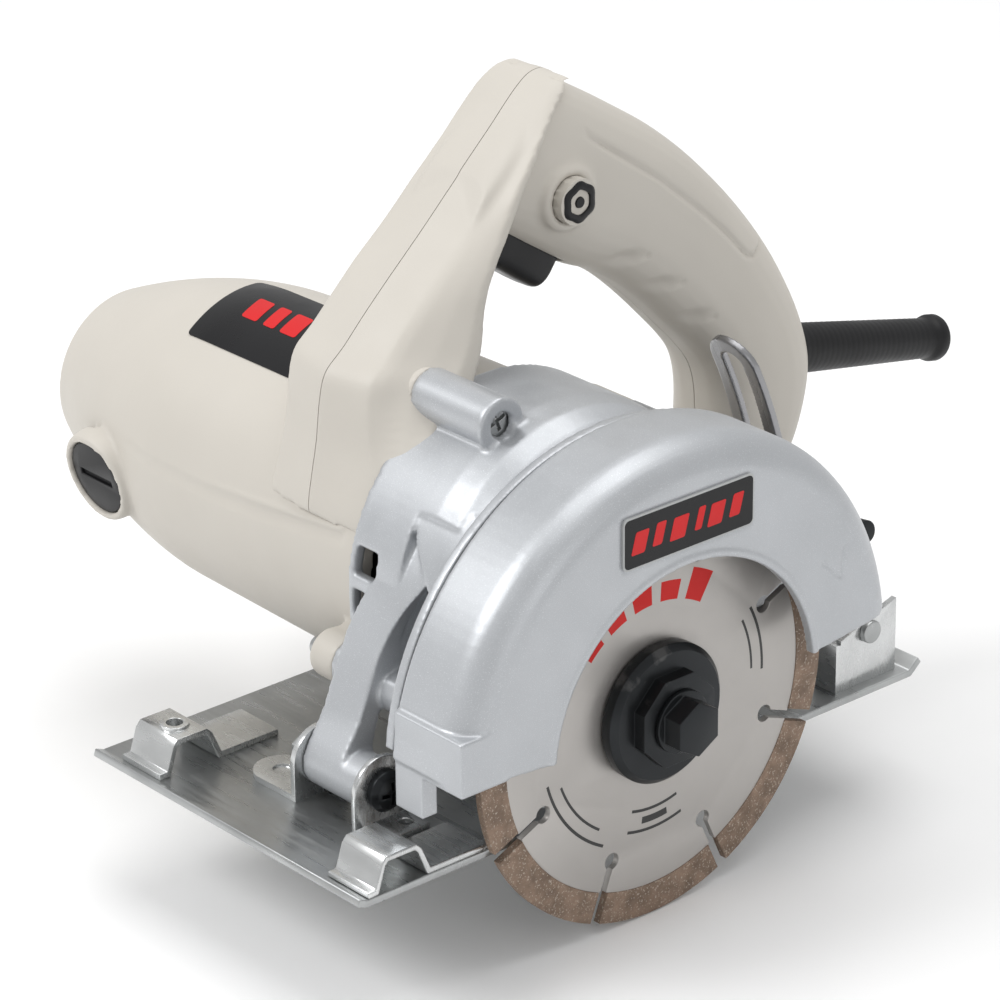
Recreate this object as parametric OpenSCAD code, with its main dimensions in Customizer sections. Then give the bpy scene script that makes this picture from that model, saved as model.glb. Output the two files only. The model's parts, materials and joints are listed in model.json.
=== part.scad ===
// Hand-held masonry cutter with a 110 mm segmented diamond blade.
// Frame: +X towards the blade side, -Y is the cutting direction, +Z up.
// Origin: on the sole plane, straight below the arbor, in the split plane
// between the motor housing and the gear housing.

/* [Blade] */
// Outside diameter of the blade
blade_d = 110; // [105:1:110]
// Diameter of the arbor hole
arbor_d = 20; // [20, 22.23]
// Thickness of the steel core
core_t = 1.8; // [1.4:0.1:2]
// Thickness of the diamond segments
segment_t = 2.2; // [2.2:0.1:2.6]
// Number of diamond segments
segment_count = 8; // [6:1:10]
// Radial depth of the diamond segments
segment_h = 8; // [6:0.5:9]
// Cutting depth with the base fully raised
cut_depth = 32; // [30:1:32]

/* [Motor] */
// Distance from the motor axis to the arbor
centre_distance = 26; // [26:1:26]
// Teeth on the motor pinion
pinion_teeth = 17; // [17:1:17]
// Teeth on the driven gear
gear_teeth = 35; // [35:1:35]
// Radius of the motor barrel at its middle
barrel_r = 41; // [40.5:0.1:41.5]
// Length of the motor housing
motor_len = 148; // [146:1:152]

/* [Base] */
// Position of the left edge of the base plate
base_left = 49; // [47:1:52]
// Position of the right edge of the base plate
base_right = 53; // [52:0.1:53.4]
// Distance from the arbor to the front edge
base_front = 87; // [85:1:90]
// Distance from the arbor to the rear edge
base_rear = 91; // [90:1:96]
// Thickness of the steel sheet
plate_t = 2; // [1.6:0.1:2]
// Largest swing of the base about its front pivot
depth_swing = 18; // [12:1:18]

/* [Handle] */
// Width of the handle grip
grip_w = 29; // [28:1:30]
// Width of the front leg of the handle
leg_w = 36; // [34:1:36]
// Wall of the plastic shells
shell_t = 2.6; // [2.2:0.1:3]
// Inward travel of the trigger
trigger_travel = 5; // [3:0.5:5]

/* [Hidden] */
$fn = 96;
// Modelling allowance for cutting tools that pass right through
eps = 0.5;
// Play of a shaft in its bearing
run = 0.04;
// Play between fixed pieces of one body
fit = 0.03;

blade_r = blade_d / 2;
arbor_z = blade_r - cut_depth;
blade_x = 55;
core_r = blade_r - segment_h;
keyhole_angle = 24.3;
keyhole_r = 39;

motor_y = -3;
motor_z = arbor_z + sqrt(centre_distance * centre_distance - motor_y * motor_y);
mesh_angle = atan2(motor_z - arbor_z, motor_y);
flange_r = 45;
bore_r = 37;
brush_x = -110;
brush_tilt = 11.5;
brush_cap_r = 10;
screw_pcd_r = 48;
screw_angles = [112.3, 202.3, 337.7, 22.3];
gear_x = 18;
gear_w = 10;
box_x = 34;

pivot_y = -60.5;
pivot_z = 11.5;
pivot_r = 3;
ear_t = 1.6;
ear_left_x = 2.9;
ear_right_x = 25.5;

strip_r = 150;
strip_t = 2;
strip_w = 16;
strip_x = -3.5;
strip_slot = 7;
clamp_angle = 6.5;
strip_top = clamp_angle + depth_swing + 4;
clamp_x = strip_x + strip_w / 2;

grip_x = -20;
grip_half = grip_w / 2;
leg_half = leg_w / 2;

// Unit vectors of the handle underside at the trigger: along it and into it
trigger_y = 33.9;
trigger_z = 106.3;
trigger_slope = 146.5;
button_y = 28.4;
button_z = 128.2;
button_r = 5;
cord_y = 113;
cord_z = 61;
cord_drop = -12.2;

// ---- helpers ----
// Cylinder parallel to X about (y, z)
module xcyl(r, x0, x1, y = 0, z = 0, fn = 96) {
    translate([x0, y, z]) rotate([0, 90, 0]) cylinder(r = r, h = x1 - x0, $fn = fn);
}
// Extrusion along X of a shape drawn in (y, z)
module yz(x0, x1) {
    translate([x0, 0, 0]) rotate([90, 0, 90]) linear_extrude(x1 - x0) children();
}
// Hollow cylinder parallel to X
module xring(r_out, r_in, x0, x1, y = 0, z = 0) {
    difference() {
        xcyl(r_out, x0, x1, y, z);
        xcyl(r_in, x0 - eps, x1 + eps, y, z);
    }
}
// Solid of revolution about X through (y, z); the profile holds [x, r] pairs
module xspin(profile, y = 0, z = 0) {
    translate([0, y, z]) rotate([0, 90, 0])
        rotate_extrude($fn = 96) polygon([for (p = profile) [p[1], p[0]]]);
}
// Part of a ring about X, from angle a0 over a sweep, in degrees from +Y
module xsector(r_in, r_out, x0, x1, a0, sweep, y = 0, z = 0) {
    translate([0, y, z]) rotate([a0, 0, 0]) rotate([90, 0, 90])
        rotate_extrude(angle = sweep, $fn = 96)
        translate([r_in, x0]) square([r_out - r_in, x1 - x0]);
}
// Wedge about X through (y, z), from angle a0 to a1, wider than any piece it cuts
module wedge(x0, x1, a0, a1, y = 0, z = 0) {
    yz(x0, x1) polygon(concat([[y, z]], arc(y, z, 400, a0, a1, 6)));
}
// Turns its children about the motor axis
module on_motor(a = 0) {
    translate([0, motor_y, motor_z]) rotate([a, 0, 0]) children();
}
function polar(r, a) = [r * cos(a), r * sin(a)];
function arc(y, z, r, a0, a1, n = 12) = [for (i = [0 : n]) [y, z] + polar(r, a0 + (a1 - a0) * i / n)];
// Catmull-Rom curve through the inner points of a list
function cr(a, b, c, d, t) = 0.5 * (2 * b + (c - a) * t + (2 * a - 5 * b + 4 * c - d) * t * t
    + (3 * b - a - 3 * c + d) * t * t * t);
function spline(p, n = 5) = [for (i = [1 : len(p) - 3]) for (j = [0 : n - 1])
    cr(p[i - 1], p[i], p[i + 1], p[i + 2], j / n)];
function unit(v) = v / norm(v);

// Involute gear outline
function inv(a) = tan(a) * 180 / PI - a;
function half_tooth(z, r) = 90 / z - 0.16 * 180 / PI / z + inv(20)
    - inv(acos(min(1, z / 2 * cos(20) / r)));
function tooth(z, a) = let (rb = z / 2 * cos(20), rt = z / 2 + 1, n = 4, rr = z / 2 - 1.25)
    concat([polar(rr, a - half_tooth(z, rb))],
        [for (i = [0 : n]) let (r = rb + (rt - rb) * i / n) polar(r, a - half_tooth(z, r))],
        [for (i = [n : -1 : 0]) let (r = rb + (rt - rb) * i / n) polar(r, a + half_tooth(z, r))],
        [polar(rr, a + half_tooth(z, rb))]);
module gear_outline(z, a0) {
    polygon([for (i = [0 : z - 1]) each tooth(z, a0 + 360 * i / z)]);
}

// ---- motor housing ----
taper_x = -85;
taper_drop = 16;
function barrel_at(x) = x > taper_x ? barrel_r + 0.018 * x
    : barrel_at(taper_x + 0.01) - taper_drop * pow((taper_x - x) / (motor_len + taper_x), 1.7);
barrel_out = concat([[0, barrel_at(0)]],
    [for (i = [0 : 13]) let (x = taper_x - (motor_len + taper_x - 2) * i / 13) [x, barrel_at(x)]],
    [[-motor_len, barrel_at(-motor_len) - 3]]);
rear_bearing_x = -138;

// Rear strut that ties the motor housing to the handle
strut = [[20, 18], [34, 12], [80, 22], [83.6, 36], [85, 50], [78, 44], [66, 36], [52, 31], [38, 30]];
strut_half = 9;

module housing_lugs(x0, x1, r) {
    for (a = screw_angles) on_motor(a) {
        xcyl(r, x0, x1, screw_pcd_r, 0, 48);
        translate([x0, screw_pcd_r - 12, -r * 0.8]) cube([x1 - x0, 12, r * 1.6]);
    }
}
module screw_holes(x0, x1, r) {
    for (a = screw_angles) on_motor(a) xcyl(r, x0, x1, screw_pcd_r, 0, 48);
}
module brush_axis(side) {
    translate([brush_x, motor_y, motor_z]) rotate([(side > 0 ? 180 : 0) + brush_tilt, 0, 0])
        rotate([-90, 0, 0]) children();
}
module motor_housing() color("#c8c4bb") difference() {
    union() {
        xspin(concat(barrel_out, [[-motor_len, 0], [0, 0]]), motor_y, motor_z);
        housing_lugs(-16, 0, 6.4);
        for (s = [1, -1]) brush_axis(s) cylinder(r = 12.5, h = 39.6);
        yz(grip_x - strut_half, grip_x + strut_half) polygon(strut);
    }
    xcyl(bore_r + fit, -90, eps, motor_y, motor_z);
    xcyl(34, -101, -89, motor_y, motor_z);
    xcyl(30, -121, -100, motor_y, motor_z);
    xcyl(23, -130.5, -120, motor_y, motor_z);
    xcyl(11 + fit, rear_bearing_x, -130, motor_y, motor_z);
    xcyl(6, rear_bearing_x - 3, rear_bearing_x + 1, motor_y, motor_z);
    for (s = [1, -1]) brush_axis(s) {
        cylinder(r = 6 + fit, h = 45);
        translate([0, 0, 36.2]) cylinder(r = brush_cap_r + 0.3, h = 8);
    }
    screw_holes(-14, eps, 2.45);
    // Recess of the motor label
    intersection() {
        xring(barrel_r + 3, barrel_r - 1.25, -94.3, -41.7, motor_y, motor_z);
        wedge(-95, -41, 79.6, 124.4, motor_y, motor_z);
    }
    // Cooling slots on the underside of the brush end
    for (i = [-3 : 3]) translate([brush_x - 5, motor_y + i * 7 - 1.5, 2]) cube([26, 3, 24]);
}
module rear_armature_bearing() color("silver")
    xring(11, 4 + run, rear_bearing_x, rear_bearing_x + 7, motor_y, motor_z);
module brush_holders() color("goldenrod") for (s = [1, -1]) brush_axis(s) difference() {
    translate([0, 0, 15]) cylinder(r = 6, h = 21);
    translate([-3.1, -4.1, 14]) cube([6.2, 8.2, 23]);
}
module carbon_brushes() color("#303030") for (s = [1, -1]) brush_axis(s)
    translate([-3, -4, 14.1]) cube([6, 8, 13]);
module brush_caps() color("#1b1b1b") for (s = [1, -1]) brush_axis(s) difference() {
    translate([0, 0, 36.3]) cylinder(r = brush_cap_r, h = 2.9);
    translate([-6.5, -0.9, 38]) cube([13, 1.8, 3]);
}
module field_core() color("#5f6468") difference() {
    xcyl(bore_r, -80, -38, motor_y, motor_z);
    xcyl(21.3, -81, -37, motor_y, motor_z);
    for (a = [-26, 154]) xsector(20, 32.5, -81, -37, a, 52, motor_y, motor_z);
}
module field_coils() color("#b5652a") for (a = [0, 180]) difference() {
    intersection() {
        xring(32, 24, -89, -29, motor_y, motor_z);
        wedge(-95, -20, a + 2, a + 178, motor_y, motor_z);
    }
    wedge(-80.1, -37.9, a + 14.5, a + 165.5, motor_y, motor_z);
}
module fan_baffle() color("#202020") difference() {
    xring(bore_r - 0.2, 26, -27.5, -25.5, motor_y, motor_z);
}
module motor_label() color("#101010")
    xsector(barrel_r - 1.2, barrel_r - 0.2, -94, -42, 80, 44, motor_y, motor_z);

// ---- gear housing ----
module arm_profile() {
    polygon(concat(
        spline([[-30, 72], [-36, 64], [-50, 46], [-59.5, 26], [-67, 13], [-66, 4]], 5),
        arc(pivot_y, pivot_z, 6.3, 178, 300, 10),
        spline([[-56, 4], [-56.5, 8.5], [-54, 24], [-45, 41], [-33, 56], [-26, 62]], 5),
        [[-28, 60], [-25, 66]]));
}
pocket_a = 146;
pocket_sweep = 50;
module guard_half(r, x0, x1, cut_z = 30) intersection() {
    xcyl(r, x0, x1, 0, arbor_z);
    translate([x0 - 1, -r - 1, cut_z]) cube([x1 - x0 + 2, 2 * r + 2, r + 20]);
}
rear_pad_y = pivot_y + (strip_r - 1.5) * cos(clamp_angle);
rear_pad_z = pivot_z + (strip_r - 1.5) * sin(clamp_angle);
module gear_housing() color("#b4b9bd") difference() {
    union() {
        xspin([[0, 0], [0, flange_r], [24, flange_r], [31, flange_r - 0.6], [36, flange_r - 2.4],
               [38, flange_r - 4], [38, 0]], motor_y, motor_z);
        xcyl(arbor_z - 1.3, 10, box_x, 0, arbor_z);
        housing_lugs(0, 26, 6.4);
        guard_half(66, 37, 43);
        guard_half(69.5, 38.5, 41.5);
        yz(4.8, 18) arm_profile();
        xcyl(6.6, 4.8, 25.2, pivot_y, pivot_z);

        // Rear arm that carries the depth clamp
        yz(0.5, 8.5) polygon([[30, 20], [30, 42], [66, 37], [rear_pad_y - 0.7, rear_pad_z + 6],
            [rear_pad_y + 0.7, rear_pad_z - 6], [70, 20]]);
    }
    // Air chamber and fan space, around the gear chamber and the bearing hub
    difference() {
        xcyl(41.5, -eps, 35, motor_y, motor_z);
        xcyl(arbor_z - 1.3, 10, 40, 0, arbor_z);
        xcyl(16.5, 3, 40, motor_y, motor_z);
        translate([10, -21, arbor_z]) cube([30, 36, 26]);
        screw_holes(-1, 40, 5.4);
        xsector(28, 43, 15, 40, pocket_a - 4, pocket_sweep + 8, motor_y, motor_z);
    }
    // Open pocket between the front arm and the guard
    xsector(31, 60, 18, 36.5, pocket_a, pocket_sweep, motor_y, motor_z);
    // Gear chamber
    xcyl(19.4, 16, box_x + 1, 0, arbor_z);
    xcyl(12, 16, box_x - 2, motor_y, motor_z);
    xcyl(13 + fit, 6, 14, motor_y, motor_z);
    xcyl(8, 2, 17, motor_y, motor_z);
    xcyl(8 + fit, 12, 17, 0, arbor_z);
    // Seat of the bearing box
    xcyl(22.2, box_x, 44, 0, arbor_z);
    for (y = [-15, 15]) xcyl(1.95, box_x - 9, box_x + 1, y * 1.42, arbor_z + 3, 32);
    screw_holes(-eps, 30, 2.45);
    screw_holes(20, 30, 4.4);
    xcyl(pivot_r + run, 0, 30, pivot_y, pivot_z);
    // Air outlets beside the motor flange
    for (a = [168, 182]) on_motor(a) translate([1.6, 36, -3.6]) cube([8, 14, 7.2]);
    // Screw holes for the guard
    for (a = [40, 90, 140]) translate([0, 0, arbor_z]) rotate([a, 0, 0]) {
        xcyl(1.9, 36, 44, 62, 0, 32);
        xcyl(3.5, 30, 36.9, 62, 0, 32);
    }
    // Hole for the depth bolt
    translate([clamp_x, pivot_y, pivot_z]) rotate([clamp_angle, 0, 0]) {
        translate([0, 130, 0]) rotate([-90, 0, 0]) cylinder(r = 2.5, h = 25);
        translate([0, 138, 0]) rotate([-90, 0, 0]) cylinder(r = 4.2, h = 3, $fn = 6);
    }
}
module housing_screws() color("#3a3a3a") for (a = screw_angles) on_motor(a) {
    xcyl(2.4, -13, 20.1, screw_pcd_r, 0, 32);
    difference() {
        xcyl(4.3, 20.1, 24, screw_pcd_r, 0, 32);
        translate([22.6, screw_pcd_r - 2.8, -0.5]) cube([3, 5.6, 1]);
        translate([22.6, screw_pcd_r - 0.5, -2.8]) cube([3, 1, 5.6]);
    }
}
module front_armature_bearing() color("silver")
    xring(13, 5 + run, 6, 14, motor_y, motor_z);
module spindle_needle_bearing() color("silver") xring(8, 5 + run, 12, 16, 0, arbor_z);
module bearing_box() color("#a9aeb2") difference() {
    union() {
        xcyl(21.6, box_x, 44.5, 0, arbor_z);
        xcyl(19.3, box_x - 2, box_x + 1, 0, arbor_z);
    }
    xcyl(16 + fit, box_x - 3, 42, 0, arbor_z);
    xcyl(11, 41, 46, 0, arbor_z);
    for (y = [-13, 13]) xcyl(1.6, 43, 45, y, arbor_z + 13, 32);
}
module bearing_box_screws() color("#3a3a3a") for (y = [-13, 13]) difference() {
    union() {
        xcyl(1.55, 43.1, 44.5, y, arbor_z + 13, 32);
        xcyl(2.8, 44.5, 46.3, y, arbor_z + 13, 32);
    }
    translate([45.6, y - 2, arbor_z + 12.6]) cube([2, 4, 0.8]);
}
module spindle_ball_bearing() color("silver") xring(16, 6 + run, 32, 42, 0, arbor_z);

// ---- blade guard ----
guard_x = 67.3;
guard_r = 71;
shoulder = 9;
guard_wall = 2.4;
guard_in = 41.7;
function shoulder_arc(o) = [for (i = [0 : 8]) let (a = 90 - 90 * i / 8)
    [guard_x - shoulder + (shoulder - o) * sin(a), guard_r - shoulder + (shoulder - o) * cos(a)]];
function reversed(p) = [for (i = [len(p) - 1 : -1 : 0]) p[i]];
guard_section = concat(
    [[guard_x, guard_in + 1.8], [guard_x + 0.5, guard_in + 1.6], [guard_x + 0.5, guard_in],
     [guard_x - guard_wall, guard_in]],
    [[guard_x - guard_wall, guard_r - shoulder]], shoulder_arc(guard_wall),
    [[43.1, guard_r - guard_wall], [43.1, guard_r]], reversed(shoulder_arc(0)));
module blade_guard() color("#b9bdc1") difference() {
    union() {
        intersection() {
            xspin(guard_section, 0, arbor_z);
            wedge(40, 70, 6.5, 175, 0, arbor_z);
        }
        // Front block with its leg
        difference() {
            translate([43.1, -70, 27.4]) cube([guard_x - 43.1, 14, 14]);
            translate([45.5, -67.5, 26]) cube([guard_x - 48, 20, 13]);
        }
        translate([43.1, -70, 16.8]) cube([9.9, 4.6, 12]);
        // Screw posts against the rim
        for (a = [40, 90, 140]) translate([0, 0, arbor_z]) rotate([a, 0, 0]) {
            xcyl(4, 43.1, 52, 62.5, 0, 32);
            translate([43.1, 62.5, -4]) cube([8.9, 6.5, 8]);
        }
    }
    for (a = [40, 90, 140]) translate([0, 0, arbor_z]) rotate([a, 0, 0])
        xcyl(1.7, 42, 50, 62, 0, 32);
    // Rotation chevron pressed into the rear of the cover
    translate([guard_x - 0.5, 50, arbor_z + 22]) rotate([20, 0, 0]) {
        rotate([28, 0, 0]) cube([2, 1.2, 9]);
        rotate([-28, 0, 0]) cube([2, 1.2, 9]);
    }
    translate([guard_x - 0.25, -21.4, arbor_z + 45.4]) cube([2, 42.3, 14.4]);
}
module guard_screws() color("#3a3a3a") for (a = [40, 90, 140])
    translate([0, 0, arbor_z]) rotate([a, 0, 0]) {
        xcyl(1.65, 36.9, 49, 62, 0, 32);
        xcyl(3.2, 35.1, 36.9, 62, 0, 32);
    }
module guard_label() color("#101010")
    translate([guard_x - 0.25, -21, arbor_z + 46]) cube([0.7, 41.5, 13.2]);

// ---- handle ----
// Outlines in (y, z), clockwise seen from +X. The leg block is wider than the grip.
leg_front = concat(
    [[-37.5, 57.5]],
    spline([[-38.4, 76], [-38.8, 84], [-38, 92], [-33, 99.5], [-24, 108.5]], 4),
    spline([[8, 139], [18, 149], [24, 154.5], [30, 157.3], [36, 155.5], [42, 150]], 4));
leg_back = concat([[36, 155.5], [25, 151], [15, 135.5], [5.4, 121]],
    spline([[18, 132], [4.6, 119], [-1, 110], [-5, 99.4], [-8, 89.8], [-10, 80]], 4), [[-9, 84], [-24, 62]]);
leg_line = concat(leg_front, leg_back);
grip_line = concat([[22, 153]],
    spline([[24, 160], [39, 151.8], [63.5, 136.2], [76.5, 125.3], [90, 111.3], [101.5, 96.5], [110, 82],
        [115, 70], [117, 60], [115.5, 50], [112, 40], [104, 29], [90, 20]], 4),
    [[97, 25], [82, 25], [84, 36], [85.4, 52]],
    spline([[84, 40], [85, 62], [79.5, 69.6], [72.5, 77.6], [61.5, 88.6], [50, 99], [38, 106], [28, 112]], 4),
    [[30.8, 108.4], [11.4, 121.2], [0, 128]]);
hollow_line = [[-35.5, 66], [-35.5, 89], [-31, 97.5], [10, 136.5], [23, 148.5], [36, 148.5], [61, 132],
    [74, 121], [87, 107.5], [98, 93], [106, 79.5], [110.5, 68], [112.5, 60], [107, 41], [101, 33], [86.5, 33],
    [88.5, 51], [89, 60], [84, 72], [66, 92], [54, 103], [38, 110.6], [15, 125], [4.5, 126], [-5, 110.5],
    [-9, 100], [-12, 90], [-20, 75]];
leg_hollow_line = [[-35.5, 66], [-35.5, 89], [-31, 97.5], [0, 126.5], [-1, 118], [-5, 110.5], [-9, 100],
    [-12, 90], [-20, 75]];
inlay_line = spline([[20, 162], [41, 150.6], [63.5, 136.2], [76.5, 125.3], [90, 111.3], [101.5, 96.5],
    [110, 82]], 5);
module slab(line, x0, x1) yz(min(x0, x1), max(x0, x1)) polygon(line);
module trigger_place() {
    translate([0, trigger_y, trigger_z]) rotate([trigger_slope, 0, 0]) mirror([0, 0, 1]) children();
}
module inlay_band(x0, x1) yz(x0, x1) polygon(concat(inlay_line,
    [for (i = [len(inlay_line) - 1 : -1 : 0]) inlay_line[i] - 1.6 * unit([30, 40])]));
module handle_half_shell(side) {
    x_leg = grip_x + side * leg_half;
    x_grip = grip_x + side * grip_half;
    difference() {
        union() {
            difference() {
                union() {
                    slab(leg_line, grip_x, x_leg);
                    slab(grip_line, grip_x, x_grip);
                }
                slab(hollow_line, grip_x - side, x_grip - side * shell_t * 1.6);
                slab(leg_hollow_line, grip_x - side, x_leg - side * shell_t);
                xcyl(barrel_r + 0.5, -60, 5, motor_y, motor_z);
                inlay_band(grip_x - 11, grip_x + 11);
                trigger_place() translate([grip_x - 7.5, 2.4, -4]) cube([15, 23.7, 12 + trigger_travel]);
                // Cord entry
                translate([grip_x, cord_y, cord_z]) rotate([cord_drop - 90, 0, 0])
                    translate([0, 0, -22]) cylinder(r = 7.2, h = 40);
            }
            for (p = handle_posts) slab_post(p, side, p[2] - shell_t * 0.8);
            if (side > 0) xcyl(button_r + 2.2, x_grip - 0.5, x_grip + 1.2, button_y, button_z, 48);
        }
        // Screw holes, with sunk heads on the left
        for (p = handle_posts) {
            xcyl(1.55, grip_x - 24, grip_x + (side > 0 ? 9 : 20), p[0], p[1], 32);
            if (side < 0) xcyl(2.9, grip_x - 40, grip_x - p[2] + 0.6, p[0], p[1], 32);
        }
        // Room for the upper screw lug of the motor housing
        if (side > 0) on_motor(screw_angles[0]) {
            xcyl(6.7, -16.3, 8, screw_pcd_r, 0, 48);
            translate([-16.3, screw_pcd_r - 13, -5.4]) cube([24, 13, 10.8]);
        }
        if (side > 0) xcyl(button_r + 0.4, -12, 2, button_y, button_z, 48);
    }
}
handle_posts = [[-15.5, 107, leg_half], [72, 104, grip_half], [100, 70, grip_half], [98, 42, grip_half]];
module slab_post(p, side, reach) {
    xcyl(3.6, min(grip_x, grip_x + side * reach), max(grip_x, grip_x + side * reach), p[0], p[1], 32);
}
module handle_shell_left() color("#c8c4bb") handle_half_shell(-1);
module handle_shell_right() color("#c8c4bb") handle_half_shell(1);
module handle_inlay() color("#c2beb4") inlay_band(grip_x - 10.9, grip_x + 10.9);
module handle_screws() color("#3a3a3a") for (p = handle_posts) {
    xcyl(1.5, grip_x - p[2] + 0.6, grip_x + 8, p[0], p[1], 32);
    xcyl(2.8, grip_x - p[2] - 0.4, grip_x - p[2] + 0.6, p[0], p[1], 32);
}
module switch_body() color("#222222") difference() {
    trigger_place() translate([grip_x - 10, -6, 14]) cube([20, 31, 16]);
    xcyl(3.5, -18, -5, button_y, button_z, 32);
}
module trigger() color("#141414") trigger_place() translate([grip_x - 7, 0, 0]) difference() {
    translate([0, 3, -8.6]) cube([14, 22.5, 16.6]);
    translate([-1, 2, -11.5]) rotate([35, 0, 0]) cube([16, 5, 5]);
    // Clears the pressed lock pin
    translate([10, 12.9, 6.4]) cube([5, 7.6, 3]);
}
module lock_button() color("#141414") {
    xcyl(button_r, -6.6, -1.4, button_y, button_z, 48);
    xcyl(3, -13.3, -6.6, button_y, button_z, 32);
}
module cord_clamp() color("#222222") translate([grip_x - 10.2, 92, 57]) cube([20.4, 8, 4]);
module cord_guard() color("#161616") translate([grip_x, cord_y, cord_z]) rotate([cord_drop - 90, 0, 0])
    difference() {
        union() {
            translate([0, 0, -6]) cylinder(r = 7, h = 6);
            cylinder(r1 = 7, r2 = 5.4, h = 58, $fn = 64);
            translate([0, 0, 57.5]) cylinder(r = 6.4, h = 4);
        }
        translate([0, 0, -7]) cylinder(r = 3.6, h = 70);
    }
module depth_bolt() color("#4a4a4a") translate([clamp_x, pivot_y, pivot_z]) rotate([clamp_angle, 0, 0])
    rotate([-90, 0, 0]) {
        translate([0, 0, 138.2]) cylinder(r = 4, h = 2.7, $fn = 6);
        translate([0, 0, 140.9]) cylinder(r = 2.4, h = 19.1);
    }
lever_tilt = -8;
module clamp_lever() color("#3c3f42") translate([clamp_x, pivot_y, pivot_z]) rotate([clamp_angle, 0, 0])
    rotate([0, lever_tilt, 0]) {
    difference() {
        rotate([-90, 0, 0]) translate([0, 0, 151.4]) cylinder(r = 6, h = 7);
        rotate([-90, 0, 0]) translate([0, 0, 150]) cylinder(r = 2.4 + run, h = 12);
    }
    difference() {
        translate([4, 152.9, -2.6]) cube([16, 4, 5.2]);
        rotate([-90, 0, 0]) translate([0, 0, 150]) cylinder(r = 4, h = 12);
    }
    xcyl(3, 18, 30, 154.9, 0, 48);
}

// ---- armature ----
module armature_shaft() color("#8d9398") union() {
    xcyl(4, -138, -128, motor_y, motor_z);
    xcyl(6, -128, 4, motor_y, motor_z);
    xcyl(5, 4, 17, motor_y, motor_z);
    translate([0, motor_y, motor_z]) yz(17, 30) gear_outline(pinion_teeth, mesh_angle + 180 + 180 / pinion_teeth);
}
module armature_core() color("#6d7276") difference() {
    xcyl(20.6, -80, -38, motor_y, motor_z);
    xcyl(6 + fit, -81, -37, motor_y, motor_z);
    for (i = [0 : 11]) on_motor(i * 30) translate([-81, 12, -1.4]) cube([44, 10, 2.8]);
}
module armature_windings() color("#b5652a") {
    for (x = [-89, -37.9]) xring(18, 6 + fit, x, x + 8.9, motor_y, motor_z);
    for (i = [0 : 11]) on_motor(i * 30) translate([-80.1, 12.1, -1.3]) cube([42.2, 5.6, 2.6]);
}
module commutator() color("#c07a3c") difference() {
    xcyl(14, -122, -99, motor_y, motor_z);
    xcyl(6 + fit, -123, -98, motor_y, motor_z);
    for (i = [0 : 23]) on_motor(i * 15) translate([-123, 13.2, -0.3]) cube([25, 2, 0.6]);
}
module fan() color("#2b2b2b") {
    xring(34, 6 + fit, -10, -8, motor_y, motor_z);
    xring(11, 6 + fit, -20, -9.5, motor_y, motor_z);
    for (i = [0 : 12]) on_motor(i * 360 / 13) translate([-20, 14, -0.8]) cube([10.5, 18, 1.6]);
}

// ---- spindle ----
module spindle() color("#8d9398") difference() {
    union() {
        xcyl(5, 12, 17, 0, arbor_z);
        xcyl(7, 17, 31.9, 0, arbor_z);
        xcyl(6, 31.9, 59, 0, arbor_z);
    }
    xcyl(4, 44, 60, 0, arbor_z, 48);
    translate([gear_x - 0.5, -1.5, arbor_z + 5.5]) cube([gear_w + 1, 3, 3]);
}
module driven_gear() color("#9aa0a5") difference() {
    translate([0, 0, arbor_z]) yz(gear_x, gear_x + gear_w) gear_outline(gear_teeth, mesh_angle);
    xcyl(7 + fit, gear_x - 1, gear_x + gear_w + 1, 0, arbor_z);
    translate([gear_x - 1, -1.5, arbor_z + 5.6]) cube([gear_w + 2, 3, 3.2]);
    for (a = [0 : 60 : 300]) translate([0, 0, arbor_z]) rotate([a + 30, 0, 0])
        xcyl(2, gear_x - 1, gear_x + gear_w + 1, 12, 0, 32);
}
module gear_key() color("#777777")
    translate([gear_x, -1.45, arbor_z + 5.6]) cube([gear_w, 2.9, 3.1]);
module inner_flange() color("#4b4f52") difference() {
    union() {
        xcyl(17.9, 49, blade_x - core_t / 2, 0, arbor_z);
        xcyl(9.5, 45.2, 50, 0, arbor_z);
        xcyl(arbor_d / 2 - fit, 53, blade_x + 0.5, 0, arbor_z);
    }
    xcyl(6 + fit, 40, 60, 0, arbor_z);
    xring(14, 10.5, blade_x - core_t / 2 - 0.5, 60, 0, arbor_z);
}
module blade_core() color("#b9b6b0") difference() {
    xcyl(core_r, blade_x - core_t / 2, blade_x + core_t / 2, 0, arbor_z);
    xcyl(arbor_d / 2, 50, 60, 0, arbor_z);
    for (i = [0 : segment_count - 1]) translate([50, 0, arbor_z])
        rotate([keyhole_angle + i * 360 / segment_count, 0, 0]) {
            translate([0, keyhole_r, 0]) rotate([0, 90, 0]) cylinder(r = 2.2, h = 10, $fn = 32);
            translate([0, keyhole_r, -0.8]) cube([10, 20, 1.6]);
        }
}
module blade_segments() color("#8f7766") for (i = [0 : segment_count - 1])
    xsector(core_r, blade_r, blade_x - segment_t / 2, blade_x + segment_t / 2,
        keyhole_angle + i * 360 / segment_count + 1.2, 360 / segment_count - 2.4, 0, arbor_z);
module outer_flange() color("#26292b") difference() {
    union() {
        xspin([[blade_x + core_t / 2, 0], [blade_x + core_t / 2, 16.6], [56.9, 17.9], [59.6, 17.9],
            [61.1, 16.4], [61.1, 0]], 0, arbor_z);
        translate([61, 0, arbor_z]) rotate([0, 90, 0]) rotate([0, 0, 22.5])
            cylinder(r = 12.2, h = 3.6, $fn = 8);
    }
    xcyl(6 + fit, 50, 59.4, 0, arbor_z);
    xcyl(4.05, 50, 70, 0, arbor_z);
    xcyl(arbor_d / 2 + 0.1, 50, blade_x + core_t / 2 + 0.2, 0, arbor_z);
}
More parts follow.
